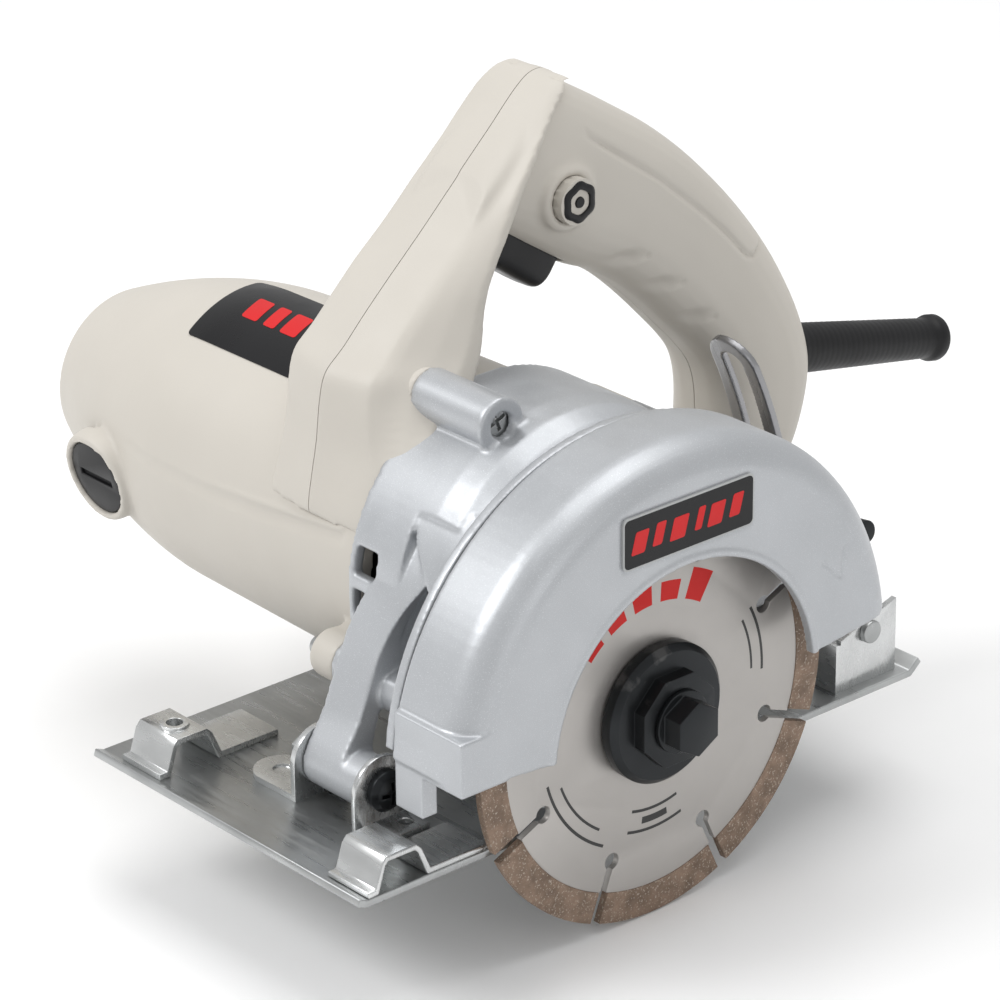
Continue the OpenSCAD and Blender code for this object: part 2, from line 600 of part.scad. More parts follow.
module arbor_bolt() color("#1e2022") {
    xcyl(3.95, 45, 64.6, 0, arbor_z, 48);
    xcyl(8, 64.6, 66, 0, arbor_z, 48);
    translate([66, 0, arbor_z]) rotate([0, 90, 0]) cylinder(r = 7.1, h = 5.5, $fn = 6);
}

// ---- base ----
module base_plate() color("#8f9498") difference() {
    union() {
        // Sheet with its front and rear edges turned up
        yz(-base_left, base_right) polygon([[-base_front, 0], [base_rear, 0], [base_rear + 3.6, 3],
            [base_rear + 2.4, 4.6], [base_rear - 0.8, plate_t], [-base_front + 0.5, plate_t],
            [-base_front - 2, plate_t + 1], [-base_front - 2.6, 1.1]]);
    }
    translate([8, -27, -eps]) cube([38, 54, plate_t + 2 * eps]);
}
module ear_profile() {
    polygon(concat([[pivot_y - 8.6, plate_t]], arc(pivot_y, pivot_z, 8.6, 180, 0, 16),
        [[pivot_y + 8.6, plate_t]]));
}
module pivot_bracket_left() color("#9a9ea2") difference() {
    union() {
        yz(ear_left_x, ear_left_x + ear_t) ear_profile();
        translate([0, 0, plate_t]) linear_extrude(ear_t)
            polygon(concat([[ear_left_x + 0.5, pivot_y - 8.6]],
                arc(-9, pivot_y - 1.8, 7.2, 260, 110, 10), [[ear_left_x + 0.5, pivot_y + 6]]));
    }
    xcyl(pivot_r + fit, 0, 6, pivot_y, pivot_z);
    translate([-9, pivot_y - 1.8, plate_t + 1]) cylinder(r = 2.4, h = 2, $fn = 32);
}
module pivot_bracket_right() color("#9a9ea2") difference() {
    union() {
        yz(ear_right_x, ear_right_x + ear_t) ear_profile();
        translate([ear_right_x + 0.5, pivot_y - 6, plate_t]) cube([10, 13, ear_t]);
    }
    xcyl(pivot_r + fit, 20, 30, pivot_y, pivot_z);
    translate([31.5, pivot_y + 3, plate_t - 1]) cylinder(r = 1.6, h = 4, $fn = 32);
}
module pivot_bolt() color("#1e2022") difference() {
    union() {
        xcyl(pivot_r, -1.5, ear_right_x + ear_t, pivot_y, pivot_z);
        xspin([[27.1, 0], [27.1, 5.2], [29, 5.2], [30.4, 4], [31, 2], [31, 0]], pivot_y, pivot_z);
    }
    translate([29.8, pivot_y - 3, pivot_z - 0.5]) cube([2, 6, 1]);
    translate([29.8, pivot_y - 0.5, pivot_z - 3]) cube([2, 1, 6]);
}
module pivot_nut() color("#6f7478") difference() {
    translate([-1.2, pivot_y, pivot_z]) rotate([0, 90, 0]) cylinder(r = 5.6, h = 4.1, $fn = 6);
    xcyl(pivot_r + fit, -3, 4, pivot_y, pivot_z);
}
// Stamped strap that guides the fence bar: foot, bridge and flat pad along Y
module strap(x0, hole) {
    difference() {
        yz(x0, x0 + 15) polygon([[-86.5, 2], [-86.5, 3.6], [-84.2, 3.6], [-82.2, 9.6], [-80.8, 11.2],
            [-71.8, 11.2], [-70.2, 9.6], [-67.6, 3.6], [-50, 3.6], [-50, 2], [-68.6, 2], [-71.4, 8.8],
            [-72.4, 9.6], [-80.2, 9.6], [-81, 8.8], [-83.2, 2]]);
        if (hole) translate([x0 + 8.4, -76.6, 5]) cylinder(r = 2.1, h = 10, $fn = 48);
    }
    if (hole) difference() {
        translate([x0 + 8.4, -76.6, 11.1]) cylinder(r = 3.6, h = 1, $fn = 48);
        translate([x0 + 8.4, -76.6, 5]) cylinder(r = 2.1, h = 10, $fn = 48);
    }
}
module fence_strap_left() color("#a2a6a9") strap(-41, true);
module fence_strap_right() color("#a2a6a9") strap(38, false);
module strip_arc(x0, w, a0, a1, t) intersection() {
    difference() {
        xcyl(strip_r + t / 2, x0, x0 + w, pivot_y, pivot_z, 180);
        xcyl(strip_r - t / 2, x0 - 1, x0 + w + 1, pivot_y, pivot_z, 180);
    }
    wedge(x0 - 1, x0 + w + 1, a0, a1, pivot_y, pivot_z);
}
module depth_strip() color("#6e7377") difference() {
    union() {
        strip_arc(strip_x, strip_w, -3.6, strip_top, strip_t);
        translate([strip_x, 74, plate_t]) cube([strip_w, 16.2, strip_t]);
    }
    wedge(clamp_x - strip_slot / 2, clamp_x + strip_slot / 2, 3.9, strip_top - 1.9, pivot_y, pivot_z);
}
module rear_bracket() color("#a2a6a9") difference() {
    union() {
        yz(48.4, 50) polygon([[68.6, plate_t], [68.6, 16], [88, 22], [88, plate_t]]);
        translate([36, 68.6, plate_t]) cube([12.6, 16, ear_t]);
        translate([42.5, 67, plate_t]) cube([7.5, 1.8, 13]);
    }
    xcyl(1.55, 45, 52, 78.1, 16.1, 32);
}
module rear_bracket_screw() color("#55595c") {
    xcyl(1.5, 46.8, 50, 78.1, 16.1, 32);
    xcyl(3, 50, 51.8, 78.1, 16.1, 32);
}

motor_housing();
rear_armature_bearing();
brush_holders();
carbon_brushes();
brush_caps();
field_core();
field_coils();
fan_baffle();
motor_label();
gear_housing();
housing_screws();
front_armature_bearing();
spindle_needle_bearing();
bearing_box();
bearing_box_screws();
spindle_ball_bearing();
blade_guard();
guard_screws();
guard_label();
handle_shell_left();
handle_shell_right();
handle_inlay();
handle_screws();
switch_body();
cord_clamp();
cord_guard();
depth_bolt();
armature_shaft();
armature_core();
armature_windings();
commutator();
fan();
spindle();
driven_gear();
gear_key();
inner_flange();
blade_core();
blade_segments();
outer_flange();
arbor_bolt();
base_plate();
pivot_bracket_left();
pivot_bracket_right();
pivot_bolt();
pivot_nut();
fence_strap_left();
fence_strap_right();
depth_strip();
rear_bracket();
rear_bracket_screw();
trigger();
lock_button();
clamp_lever();
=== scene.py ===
import json
import math

import bmesh
import bpy
import numpy as np
from mathutils import Matrix, Vector


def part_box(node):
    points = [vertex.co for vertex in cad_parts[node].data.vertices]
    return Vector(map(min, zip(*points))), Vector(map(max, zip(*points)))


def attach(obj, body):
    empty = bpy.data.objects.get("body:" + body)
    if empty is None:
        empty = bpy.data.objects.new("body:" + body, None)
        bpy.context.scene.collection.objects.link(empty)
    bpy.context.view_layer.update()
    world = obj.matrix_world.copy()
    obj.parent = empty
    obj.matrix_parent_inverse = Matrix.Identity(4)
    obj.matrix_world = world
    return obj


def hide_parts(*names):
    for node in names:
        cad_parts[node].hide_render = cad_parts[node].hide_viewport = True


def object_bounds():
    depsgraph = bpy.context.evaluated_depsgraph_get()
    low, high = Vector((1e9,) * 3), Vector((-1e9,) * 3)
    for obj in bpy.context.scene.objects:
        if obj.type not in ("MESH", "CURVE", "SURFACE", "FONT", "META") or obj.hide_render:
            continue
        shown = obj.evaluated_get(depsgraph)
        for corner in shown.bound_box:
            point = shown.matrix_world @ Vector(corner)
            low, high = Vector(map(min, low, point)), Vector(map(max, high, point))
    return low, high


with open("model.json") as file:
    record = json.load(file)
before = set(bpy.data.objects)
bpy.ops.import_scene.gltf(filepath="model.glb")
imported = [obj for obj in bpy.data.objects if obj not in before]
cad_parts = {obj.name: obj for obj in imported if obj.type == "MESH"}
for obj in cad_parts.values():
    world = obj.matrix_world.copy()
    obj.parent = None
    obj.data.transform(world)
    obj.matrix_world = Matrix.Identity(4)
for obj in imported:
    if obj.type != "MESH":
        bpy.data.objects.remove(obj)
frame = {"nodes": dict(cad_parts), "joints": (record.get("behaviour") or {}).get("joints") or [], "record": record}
NODES = frame["nodes"]
cad_lo, cad_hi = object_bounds()

MM = 0.001
ALONG_X = (1, 0, 0)


# ---------------------------------------------------------------- places from the frame
def mid(node):
    """Middle of a node's box."""
    lo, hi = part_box(node)
    return (lo + hi) / 2


AXIS = mid("armature_core")              # the motor's axis
ARBOR = mid("blade_core")
JOINTS = {j["name"]: j for j in frame["joints"]}
HINGE = Vector(JOINTS["depth_hinge"]["pos_m"])
PART_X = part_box("handle_shell_left")[1].x      # parting plane of the handle
PX = PART_X / MM
MOTOR_LENGTH = -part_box("motor_housing")[0].x / MM

TRIGGER_AT = mid("trigger")
INTO = Vector(JOINTS["trigger_squeeze"]["axis"])      # the way the trigger moves
ALONG = Vector((0, -INTO.z, INTO.y))                  # along the grip
BUTTON_AT = mid("lock_button")
BUTTON_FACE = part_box("lock_button")[1].x / MM

# ---------------------------------------------------------------- camera
CAMERA_PLACE = (0.7658, -0.6598, 0.5122)
CAMERA_AZIMUTH, CAMERA_ELEVATION, CAMERA_ROLL = 49.24, 24.16, -0.64
CAMERA_LENS = 163.87
CAMERA_SENSOR = 36


def add_camera():
    """Camera at the photograph's angle, with a slight roll."""
    az, el, roll = (math.radians(a) for a in (CAMERA_AZIMUTH, CAMERA_ELEVATION, CAMERA_ROLL))
    back = Vector((math.sin(az) * math.cos(el), -math.cos(az) * math.cos(el), math.sin(el)))
    right = Vector((math.cos(az), math.sin(az), 0))
    up = back.cross(right)
    rolled_right = right * math.cos(roll) + up * math.sin(roll)
    rolled_up = -right * math.sin(roll) + up * math.cos(roll)
    data = bpy.data.cameras.new("camera")
    cam = bpy.data.objects.new("camera", data)
    bpy.context.scene.collection.objects.link(cam)
    columns = (rolled_right, rolled_up, back, Vector(CAMERA_PLACE))
    cam.matrix_world = Matrix([[column[i] for column in columns] for i in range(3)] + [[0, 0, 0, 1]])
    data.sensor_width = CAMERA_SENSOR
    data.lens = CAMERA_LENS
    data.clip_start = 0.05
    data.clip_end = 20
    bpy.context.scene.camera = cam


add_camera()


# ---------------------------------------------------------------- materials
def node_material(name, base, rough, metallic=0.0, vary=0.05, rough_vary=0.06, blotch=30, grain=1500,
                  depth=0.02, stretch=(1, 1, 1), wear=None, wear_amount=0.0, coat=0.0, spec=0.5, speck=None):
    """Colour from a soft blotch, roughness from a second one, and a fine grain as bump.

    speck holds a colour, a noise scale and a threshold, and depth is the grain's depth in millimetres.
    """
    m = bpy.data.materials.new(name)
    m.use_nodes = True
    t = m.node_tree
    b = t.nodes["Principled BSDF"]
    b.inputs["Metallic"].default_value = metallic
    b.inputs["Specular IOR Level"].default_value = spec
    b.inputs["Coat Weight"].default_value = coat
    b.inputs["Coat Roughness"].default_value = 0.2
    tc = t.nodes.new("ShaderNodeTexCoord")
    mp = t.nodes.new("ShaderNodeMapping")
    mp.inputs["Scale"].default_value = stretch
    t.links.new(tc.outputs["Object"], mp.inputs["Vector"])

    def noise(scale, detail, vec=mp.outputs["Vector"]):
        n = t.nodes.new("ShaderNodeTexNoise")
        n.inputs["Scale"].default_value = scale
        n.inputs["Detail"].default_value = detail
        t.links.new(vec, n.inputs["Vector"])
        return n.outputs["Fac"]

    def ramp(src, p0, c0, p1, c1):
        r = t.nodes.new("ShaderNodeValToRGB")
        r.color_ramp.elements[0].position, r.color_ramp.elements[0].color = p0, (*c0, 1)
        r.color_ramp.elements[1].position, r.color_ramp.elements[1].color = p1, (*c1, 1)
        t.links.new(src, r.inputs["Fac"])
        return r.outputs["Color"]

    def mask(src, threshold, half_width_low, half_width_high):
        return ramp(src, threshold - half_width_low, (0, 0, 0), threshold + half_width_high, (1, 1, 1))

    def mixed(fac, a, flat_colour):
        x = t.nodes.new("ShaderNodeMix")
        x.data_type = "RGBA"
        t.links.new(fac, x.inputs["Factor"])
        t.links.new(a, x.inputs["A"])
        x.inputs["B"].default_value = (*flat_colour, 1)
        return x.outputs["Result"]

    dark = tuple(v * (1 - vary) for v in base)
    light = tuple(min(1, v * (1 + vary)) for v in base)
    colour = ramp(noise(blotch, 5, tc.outputs["Object"]), 0.3, dark, 0.7, light)
    if speck:
        speck_colour, speck_scale, threshold = speck
        colour = mixed(mask(noise(speck_scale, 2), threshold, 0, 0.06), colour, speck_colour)
    if wear:
        colour = mixed(mask(noise(90, 8), 1 - wear_amount, 0.03, 0.03), colour, wear)
    t.links.new(colour, b.inputs["Base Color"])
    r = t.nodes.new("ShaderNodeMapRange")
    r.inputs["From Min"].default_value, r.inputs["From Max"].default_value = 0.3, 0.7
    r.inputs["To Min"].default_value = max(0.02, rough - rough_vary)
    r.inputs["To Max"].default_value = min(1, rough + rough_vary)
    t.links.new(noise(blotch * 3, 6), r.inputs["Value"])
    t.links.new(r.outputs["Result"], b.inputs["Roughness"])
    bump = t.nodes.new("ShaderNodeBump")
    bump.inputs["Strength"].default_value = 0.6
    bump.inputs["Distance"].default_value = depth * MM
    t.links.new(noise(grain, 3), bump.inputs["Height"])
    t.links.new(bump.outputs["Normal"], b.inputs["Normal"])
    return m


BEIGE = node_material("beige_nylon", (0.545, 0.515, 0.465), 0.5, vary=0.02, grain=2600, depth=0.03,
                      spec=0.4)
BLACK = node_material("black_plastic", (0.007, 0.007, 0.008), 0.36, vary=0.2, grain=2200, depth=0.03,
                      spec=0.3)
RUBBER = node_material("black_rubber", (0.008, 0.008, 0.009), 0.48, vary=0.25, grain=1500, depth=0.05,
                       spec=0.3)
INNER = node_material("inner_plastic", (0.03, 0.03, 0.03), 0.55, vary=0.2, grain=1200)
SILVER = node_material("silver_paint", (0.46, 0.475, 0.495), 0.40, metallic=0.5, vary=0.04, grain=3200,
                       depth=0.035, coat=0.08, speck=((0.66, 0.68, 0.70), 5200, 0.62))
OXIDE = node_material("black_oxide", (0.022, 0.024, 0.026), 0.34, metallic=0.75, vary=0.25, grain=2400,
                      depth=0.02, wear=(0.07, 0.07, 0.07), wear_amount=0.38)
ZINC = node_material("zinc_sheet", (0.42, 0.43, 0.43), 0.34, metallic=0.9, vary=0.14, rough_vary=0.12,
                     blotch=55, grain=420, depth=0.03, stretch=(0.25, 3, 1))
BRIGHT = node_material("bright_sheet", (0.62, 0.63, 0.63), 0.26, metallic=0.9, vary=0.1, rough_vary=0.1,
                       blotch=70, grain=500, depth=0.02, stretch=(0.3, 3, 1))
STRIP_STEEL = node_material("strip_steel", (0.30, 0.30, 0.31), 0.3, metallic=0.9, vary=0.1,
                            rough_vary=0.08, grain=600, depth=0.015, stretch=(3, 0.4, 0.4))
STEEL = node_material("ground_steel", (0.5, 0.5, 0.5), 0.3, metallic=1, vary=0.06, grain=900,
                      stretch=(6, 1, 1))
LAMINATED = node_material("laminations", (0.14, 0.14, 0.15), 0.5, metallic=0.8, vary=0.2, grain=2200,
                          stretch=(8, 0.2, 0.2), depth=0.08)
COPPER = node_material("copper", (0.55, 0.24, 0.11), 0.35, metallic=0.9, vary=0.15, grain=1400, depth=0.1,
                       stretch=(0.2, 1, 1))
BRASS = node_material("brass_holder", (0.6, 0.45, 0.18), 0.35, metallic=0.9, vary=0.1, grain=800)
CARBON = node_material("carbon", (0.03, 0.03, 0.03), 0.7, vary=0.3, grain=3000)
SEGMENT = node_material("sintered_bond", (0.235, 0.165, 0.120), 0.62, metallic=0.35, vary=0.28,
                        rough_vary=0.12, blotch=260, grain=1500, depth=0.22,
                        speck=((0.42, 0.36, 0.30), 1900, 0.6))
LABEL = node_material("label_film", (0.006, 0.006, 0.007), 0.3, vary=0.2, grain=700, depth=0.01, spec=0.3)
RED = node_material("label_red", (0.6, 0.010, 0.012), 0.4, vary=0.06, grain=700, depth=0.01, spec=0.3)
BORDER = node_material("label_border", (0.42, 0.43, 0.43), 0.4, vary=0.08, grain=700, depth=0.01)

RED_INK = (0.5, 0.012, 0.010)
DARK_INK = (0.05, 0.05, 0.05)
BARS, BAR_START, BAR_STEP, BAR_SPAN = 5, 58, 17, 11.5
TICK_PRINTS = [  # inner radius, outer radius, first angle, last angle
    (35, 35.8, -165, -118), (31.5, 32.2, -160, -124), (35, 35.8, -2, 28), (31.5, 32.2, 0, 26),
    (26, 26.8, -106, -74), (31.4, 32.2, -106, -74), (28.2, 30, -98, -82)]


def blade_prints():
    """Plain red bars over the top of the blade, and dark arcs and a tick round the rest."""
    prints = []
    for k in range(BARS):
        start = BAR_START + k * BAR_STEP
        prints.append((27.5, 35.5 if k % 2 == 0 else 32.5, start, start + BAR_SPAN, RED_INK))
    return prints + [(*row, DARK_INK) for row in TICK_PRINTS]


def blade_material():
    """Worn satin steel, brushed in circles, with plain printed arcs."""
    m = node_material("blade_steel", (0.46, 0.44, 0.42), 0.38, metallic=0.55, vary=0.04, rough_vary=0.06,
                      grain=900)
    t = m.node_tree
    b = t.nodes["Principled BSDF"]
    tc = next(n for n in t.nodes if n.type == "TEX_COORD")

    def vector_math(operation, source, operand=None):
        n = t.nodes.new("ShaderNodeVectorMath")
        n.operation = operation
        t.links.new(source, n.inputs[0])
        if operand is not None:
            n.inputs[1].default_value = operand
        return n

    def band(src, low, high):
        a = t.nodes.new("ShaderNodeMath")
        a.operation = "COMPARE"
        a.inputs[1].default_value = (low + high) / 2
        a.inputs[2].default_value = (high - low) / 2
        t.links.new(src, a.inputs[0])
        return a.outputs[0]

    def both(x, y):
        a = t.nodes.new("ShaderNodeMath")
        a.operation = "MULTIPLY"
        t.links.new(x, a.inputs[0])
        t.links.new(y, a.inputs[1])
        return a.outputs[0]

    from_arbor = vector_math("SUBTRACT", tc.outputs["Object"], ARBOR).outputs[0]
    flat = vector_math("MULTIPLY", from_arbor, (0, 1, 1)).outputs[0]
    radius = vector_math("LENGTH", flat).outputs["Value"]
    rings = t.nodes.new("ShaderNodeTexNoise")
    rings.noise_dimensions = "1D"
    rings.inputs["Scale"].default_value = 5000
    rings.inputs["Detail"].default_value = 3
    t.links.new(radius, rings.inputs["W"])
    bump = next(n for n in t.nodes if n.type == "BUMP")
    bump.inputs["Distance"].default_value = 0.02 * MM
    t.links.new(rings.outputs["Fac"], bump.inputs["Height"])
    sep = t.nodes.new("ShaderNodeSeparateXYZ")
    t.links.new(from_arbor, sep.inputs[0])
    ang = t.nodes.new("ShaderNodeMath")
    ang.operation = "ARCTAN2"
    t.links.new(sep.outputs["Z"], ang.inputs[0])
    t.links.new(sep.outputs["Y"], ang.inputs[1])

    colour = b.inputs["Base Color"].links[0].from_socket
    for r0, r1, a0, a1, ink in blade_prints():
        x = t.nodes.new("ShaderNodeMix")
        x.data_type = "RGBA"
        x.inputs["B"].default_value = (*ink, 1)
        in_ring = band(radius, r0 * MM, r1 * MM)
        in_turn = band(ang.outputs[0], math.radians(a0), math.radians(a1))
        t.links.new(both(in_ring, in_turn), x.inputs["Factor"])
        t.links.new(colour, x.inputs["A"])
        colour = x.outputs["Result"]
    t.links.new(colour, b.inputs["Base Color"])
    return m


BLADE = blade_material()


# ---------------------------------------------------------------- mesh helpers
def linked(name, mesh):
    o = bpy.data.objects.new(name, mesh)
    bpy.context.scene.collection.objects.link(o)
    return o


def shade_smooth(o, smooth=True):
    o.data.polygons.foreach_set("use_smooth", [smooth] * len(o.data.polygons))


def make(name, verts, faces, mat, smooth=True):
    me = bpy.data.meshes.new(name)
    me.from_pydata([tuple(v) for v in verts], [], faces)
    bm = bmesh.new()
    bm.from_mesh(me)
    bmesh.ops.recalc_face_normals(bm, faces=bm.faces)
    bm.to_mesh(me)
    bm.free()
    o = linked(name, me)
    if mat:
        me.materials.append(mat)
    shade_smooth(o, smooth)
    return o


def skin(name, rings, mat, smooth=True):
    """Closed surface over rings that hold the same number of points."""
    n = len(rings[0])
    verts = [p for r in rings for p in r]
    faces = [(i * n + j, i * n + (j + 1) % n, (i + 1) * n + (j + 1) % n, (i + 1) * n + j)
             for i in range(len(rings) - 1) for j in range(n)]
    faces += [tuple(range(n)), tuple((len(rings) - 1) * n + j for j in range(n))]
    return make(name, verts, faces, mat, smooth)


def axes_of(direction):
    """The direction as a unit vector, and two unit vectors square to it."""
    d = Vector(direction).normalized()
    side = Vector((0, 0, 1)).cross(d)
    if side.length < 0.2:
        side = Vector((0, 1, 0)).cross(d)
    side.normalize()
    return d, side, d.cross(side)


def lathe(name, profile, origin, direction, mat, segs, wave=None):
    """Turned solid over (distance along, radius) pairs in millimetres. wave(angle, r) changes a radius."""
    d, s, u = axes_of(direction)
    o = Vector(origin)
    rings = []
    for t, r in profile:
        ring = []
        for k in range(segs):
            a = 2 * math.pi * k / segs
            q = wave(a, r) if wave else r
            ring.append(o + d * t * MM + (s * math.cos(a) + u * math.sin(a)) * q * MM)
        rings.append(ring)
    return skin(name, rings, mat)


def prism(name, outline, x0, x1):
    """Solid along X over a (y, z) outline in millimetres."""
    return skin(name, [[Vector((x, y, z)) * MM for y, z in outline] for x in (x0, x1)], None, smooth=False)


def block(name, centre, size, direction):
    """Box with its first size along the direction, in millimetres."""
    d, s, u = axes_of(direction)
    c = Vector(centre)
    rings = []
    for t in (-0.5, 0.5):
        rings.append([c + (d * t * size[0] + s * a * size[1] + u * b * size[2]) * MM
                      for a, b in ((-0.5, -0.5), (0.5, -0.5), (0.5, 0.5), (-0.5, 0.5))])
    return skin(name, rings, None, smooth=False)


def node_copy(node, name, mat=None):
    """A node's mesh as a new object, with its corners welded."""
    me = NODES[node].data.copy()
    me.name = name
    me.materials.clear()
    if mat:
        me.materials.append(mat)
    bm = bmesh.new()
    bm.from_mesh(me)
    bmesh.ops.remove_doubles(bm, verts=bm.verts, dist=1e-6)
    bm.to_mesh(me)
    bm.free()
    return linked(name, me)


def applied(o):
    """The object with its modifiers made real."""
    dg = bpy.context.evaluated_depsgraph_get()
    me = bpy.data.meshes.new_from_object(o.evaluated_get(dg))
    old = o.data
    o.modifiers.clear()
    o.data = me
    bpy.data.meshes.remove(old)
    return o


def joined(name, objs):
    """One object with the meshes of all of objs."""
    bm = bmesh.new()
    for o in objs:
        bm.from_mesh(o.data)
    me = bpy.data.meshes.new(name)
    bm.to_mesh(me)
    bm.free()
    for o in objs:
        bpy.data.objects.remove(o)
    return linked(name, me)


def carve(o, tools, overlapping=True):
    """Cuts closed tools out of o. A clean mesh with no overlapping shells takes the quicker solver."""
    for tool in tools:
        mod = o.modifiers.new("cut", "BOOLEAN")
        mod.operation = "DIFFERENCE"
        mod.solver = "EXACT" if overlapping else "FAST"
        if overlapping:
            mod.use_self = True
        mod.object = tool
        applied(o)
        bpy.data.objects.remove(tool)
    return o


def fused(o, voxel, smooth, mat):
    """One skin over everything in o, with soft cast edges."""
    mod = o.modifiers.new("remesh", "REMESH")
    mod.mode = "VOXEL"
    mod.voxel_size = voxel * MM
    mod.use_smooth_shade = True
    soft = o.modifiers.new("soft", "SMOOTH")
    soft.factor = 0.5
    soft.iterations = smooth
    applied(o)
    o.data.materials.clear()
    o.data.materials.append(mat)
    shade_smooth(o)
    return o


def points(o):
    co = np.zeros(len(o.data.vertices) * 3)
    o.data.vertices.foreach_get("co", co)
    return co.reshape(-1, 3)


def normals(o):
    no = np.zeros(len(o.data.vertices) * 3)
    o.data.vertices.foreach_get("normal", no)
    return no.reshape(-1, 3)


def press(o, nearness, deep):
    """Moves the surface in along its normals, by deep millimetres where nearness is 1."""
    w = np.clip(nearness, 0, 1)
    w = w * w * (3 - 2 * w)
    co = points(o) - normals(o) * (w * deep * MM)[:, None]
    o.data.vertices.foreach_set("co", np.asarray(co, float).ravel())
    o.data.update()


def groove(o, path, width, deep):
    """Presses a soft line of this width along a path, in millimetres, or raises it when deep is negative."""
    co = points(o)
    p = np.array(path, float) * MM
    best = np.full(len(co), 1e9)
    for a, b in zip(p[:-1], p[1:]):
        ab = b - a
        t = np.clip(((co - a) @ ab) / (ab @ ab), 0, 1)
        best = np.minimum(best, np.linalg.norm(co - (a + t[:, None] * ab), axis=1))
    press(o, 1 - best / (width * MM), deep)


def dent(o, centre, radii, axis, deep):
    """Presses an oval hollow into the surface, in millimetres."""
    d, s, u = (np.array(v) for v in axes_of(axis))
    q = points(o) - np.array(centre) * MM
    r = np.sqrt((q @ d / radii[0]) ** 2 + (q @ s / radii[1]) ** 2 + (q @ u / radii[2]) ** 2) / MM
    press(o, 1 - r, deep)


FLAT_ANGLE = math.radians(1.5)       # faces that meet flatter than this are one face
BEVEL_ANGLE = math.radians(32)
SHARP_ANGLE = math.radians(40)


def softened(o, width):
    """Bevelled edges and shading that follows them."""
    bm = bmesh.new()
    bm.from_mesh(o.data)
    bmesh.ops.dissolve_limit(bm, angle_limit=FLAT_ANGLE, verts=bm.verts, edges=bm.edges)
    bm.to_mesh(o.data)
    bm.free()
    mod = o.modifiers.new("bevel", "BEVEL")
    mod.width = width * MM
    mod.segments = 3
    mod.limit_method = "ANGLE"
    mod.angle_limit = BEVEL_ANGLE
    mod.use_clamp_overlap = True
    applied(o)
    shade_smooth(o)
    o.data.set_sharp_from_angle(angle=SHARP_ANGLE)
    return o


def stand_in(o, body, slot, *nodes):
    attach(o, body)
    if nodes:
        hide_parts(*nodes)


def soft_node(node, mat, width, body, slot):
    stand_in(softened(node_copy(node, node + "_form", mat), width), body, slot, node)


def lerp_rows(rows, n):
    """Smooth rows between control rows (Catmull-Rom)."""
    p = np.array(rows, float)
    p = np.vstack([2 * p[0] - p[1], p, 2 * p[-1] - p[-2]])
    out = []
    for i in range(1, len(p) - 2):
        a, b, c, d = p[i - 1:i + 3]
        for k in range(n):
            t = k / n
            out.append(0.5 * (2 * b + (c - a) * t + (2 * a - 5 * b + 4 * c - d) * t * t
                              + (3 * b - a - 3 * c + d) * t ** 3))
    out.append(p[-2])
    return np.array(out)


# ---------------------------------------------------------------- handle
PARTING_GAP = 0.13           # from the parting plane to each half
GRIP_SIDE = 13.9             # where the pressed lines run, out from the parting plane

LEG = [  # front y, back y, z, left x, right edge x, right side x, where the side face begins, edges' fall
    (-43.4, -14, 61.6, -38.6, 7.6, 10.4, -41.6, 2), (-43.2, -14, 65.5, -38.6, 7.2, 10.5, -40.4, 2.8),
    (-42, -14, 72, -38.4, 3.8, 10.6, -37.2, 3.6), (-40.4, -14, 80, -38.2, -0.6, 10.4, -32.5, 4),
    (-39.2, -13.5, 89.5, -38.2, -3, 7.2, -24.5, 4), (-37.2, -8.5, 96.5, -38.2, -3.8, 4.4, -16.5, 4),
    (-31.5, -5.2, 101.5, -38.2, -4.3, 2.6, -11.5, 4), (-25, -3, 108, -38, -4.9, 0.9, -7.5, 4),
    (-17.5, 0, 115, -38, -5.3, -0.2, -4, 4), (-7.2, 6, 124.3, -37.4, -5.7, -1.3, 2, 4),
    (1.4, 10.7, 132.4, -36.8, -6, -2.4, 7.2, 4), (9.5, 16, 140, -35.8, -6.4, -3.6, 13.2, 3.4),
    (17, 21.4, 147.4, -34.8, -7, -5, 19.8, 2.2), (22.6, 26.6, 152.8, -33.6, -8, -6.6, 25.4, 1.2),
    (27, 31.5, 156.2, -31.8, -9.8, -8.6, 30.4, 0.6), (30, 34, 157.2, -29.5, -12.4, -11.2, 33, 0.3)]

GRIP = [  # outer y, z, inner y, z, half width
    (6, 137, -3, 124, 12), (21.5, 151.2, 4, 124, 12.6), (29.5, 156.6, 11.4, 121.2, 13.2),
    (39, 152, 22, 114.5, 14), (51, 144.6, 33, 107.6, 14.4), (63.5, 136.2, 42.5, 103.2, 14.5),
    (76.5, 125.3, 52, 97, 14.5), (90, 111.3, 61.5, 88.6, 14.5), (101.5, 96.5, 70, 80, 14.5),
    (110, 82, 77, 72.6, 14.5), (115, 70, 81.5, 66.4, 14.5), (117, 60, 83.6, 59.5, 14.4),
    (115.6, 50, 84, 51, 14.2), (112, 40, 83, 42, 13.8), (106, 31, 80, 34, 13.2), (98, 24, 77, 28, 12.6)]
GRIP_POINTS = 28
GRIP_SQUARENESS = 2 / 3.1    # exponent of the section's superellipse

SCOOPS = (  # (y, z) points along the lower edge of each finger scoop
    ((39.5, 104.4), (44, 104), (48.6, 104.3), (54.8, 106.2)),
    ((50.6, 94.4), (55.4, 93.6), (60.6, 93.8), (67, 95.9)),
    ((61.5, 83.2), (66.6, 81.9), (71.4, 82), (78, 83.8)))


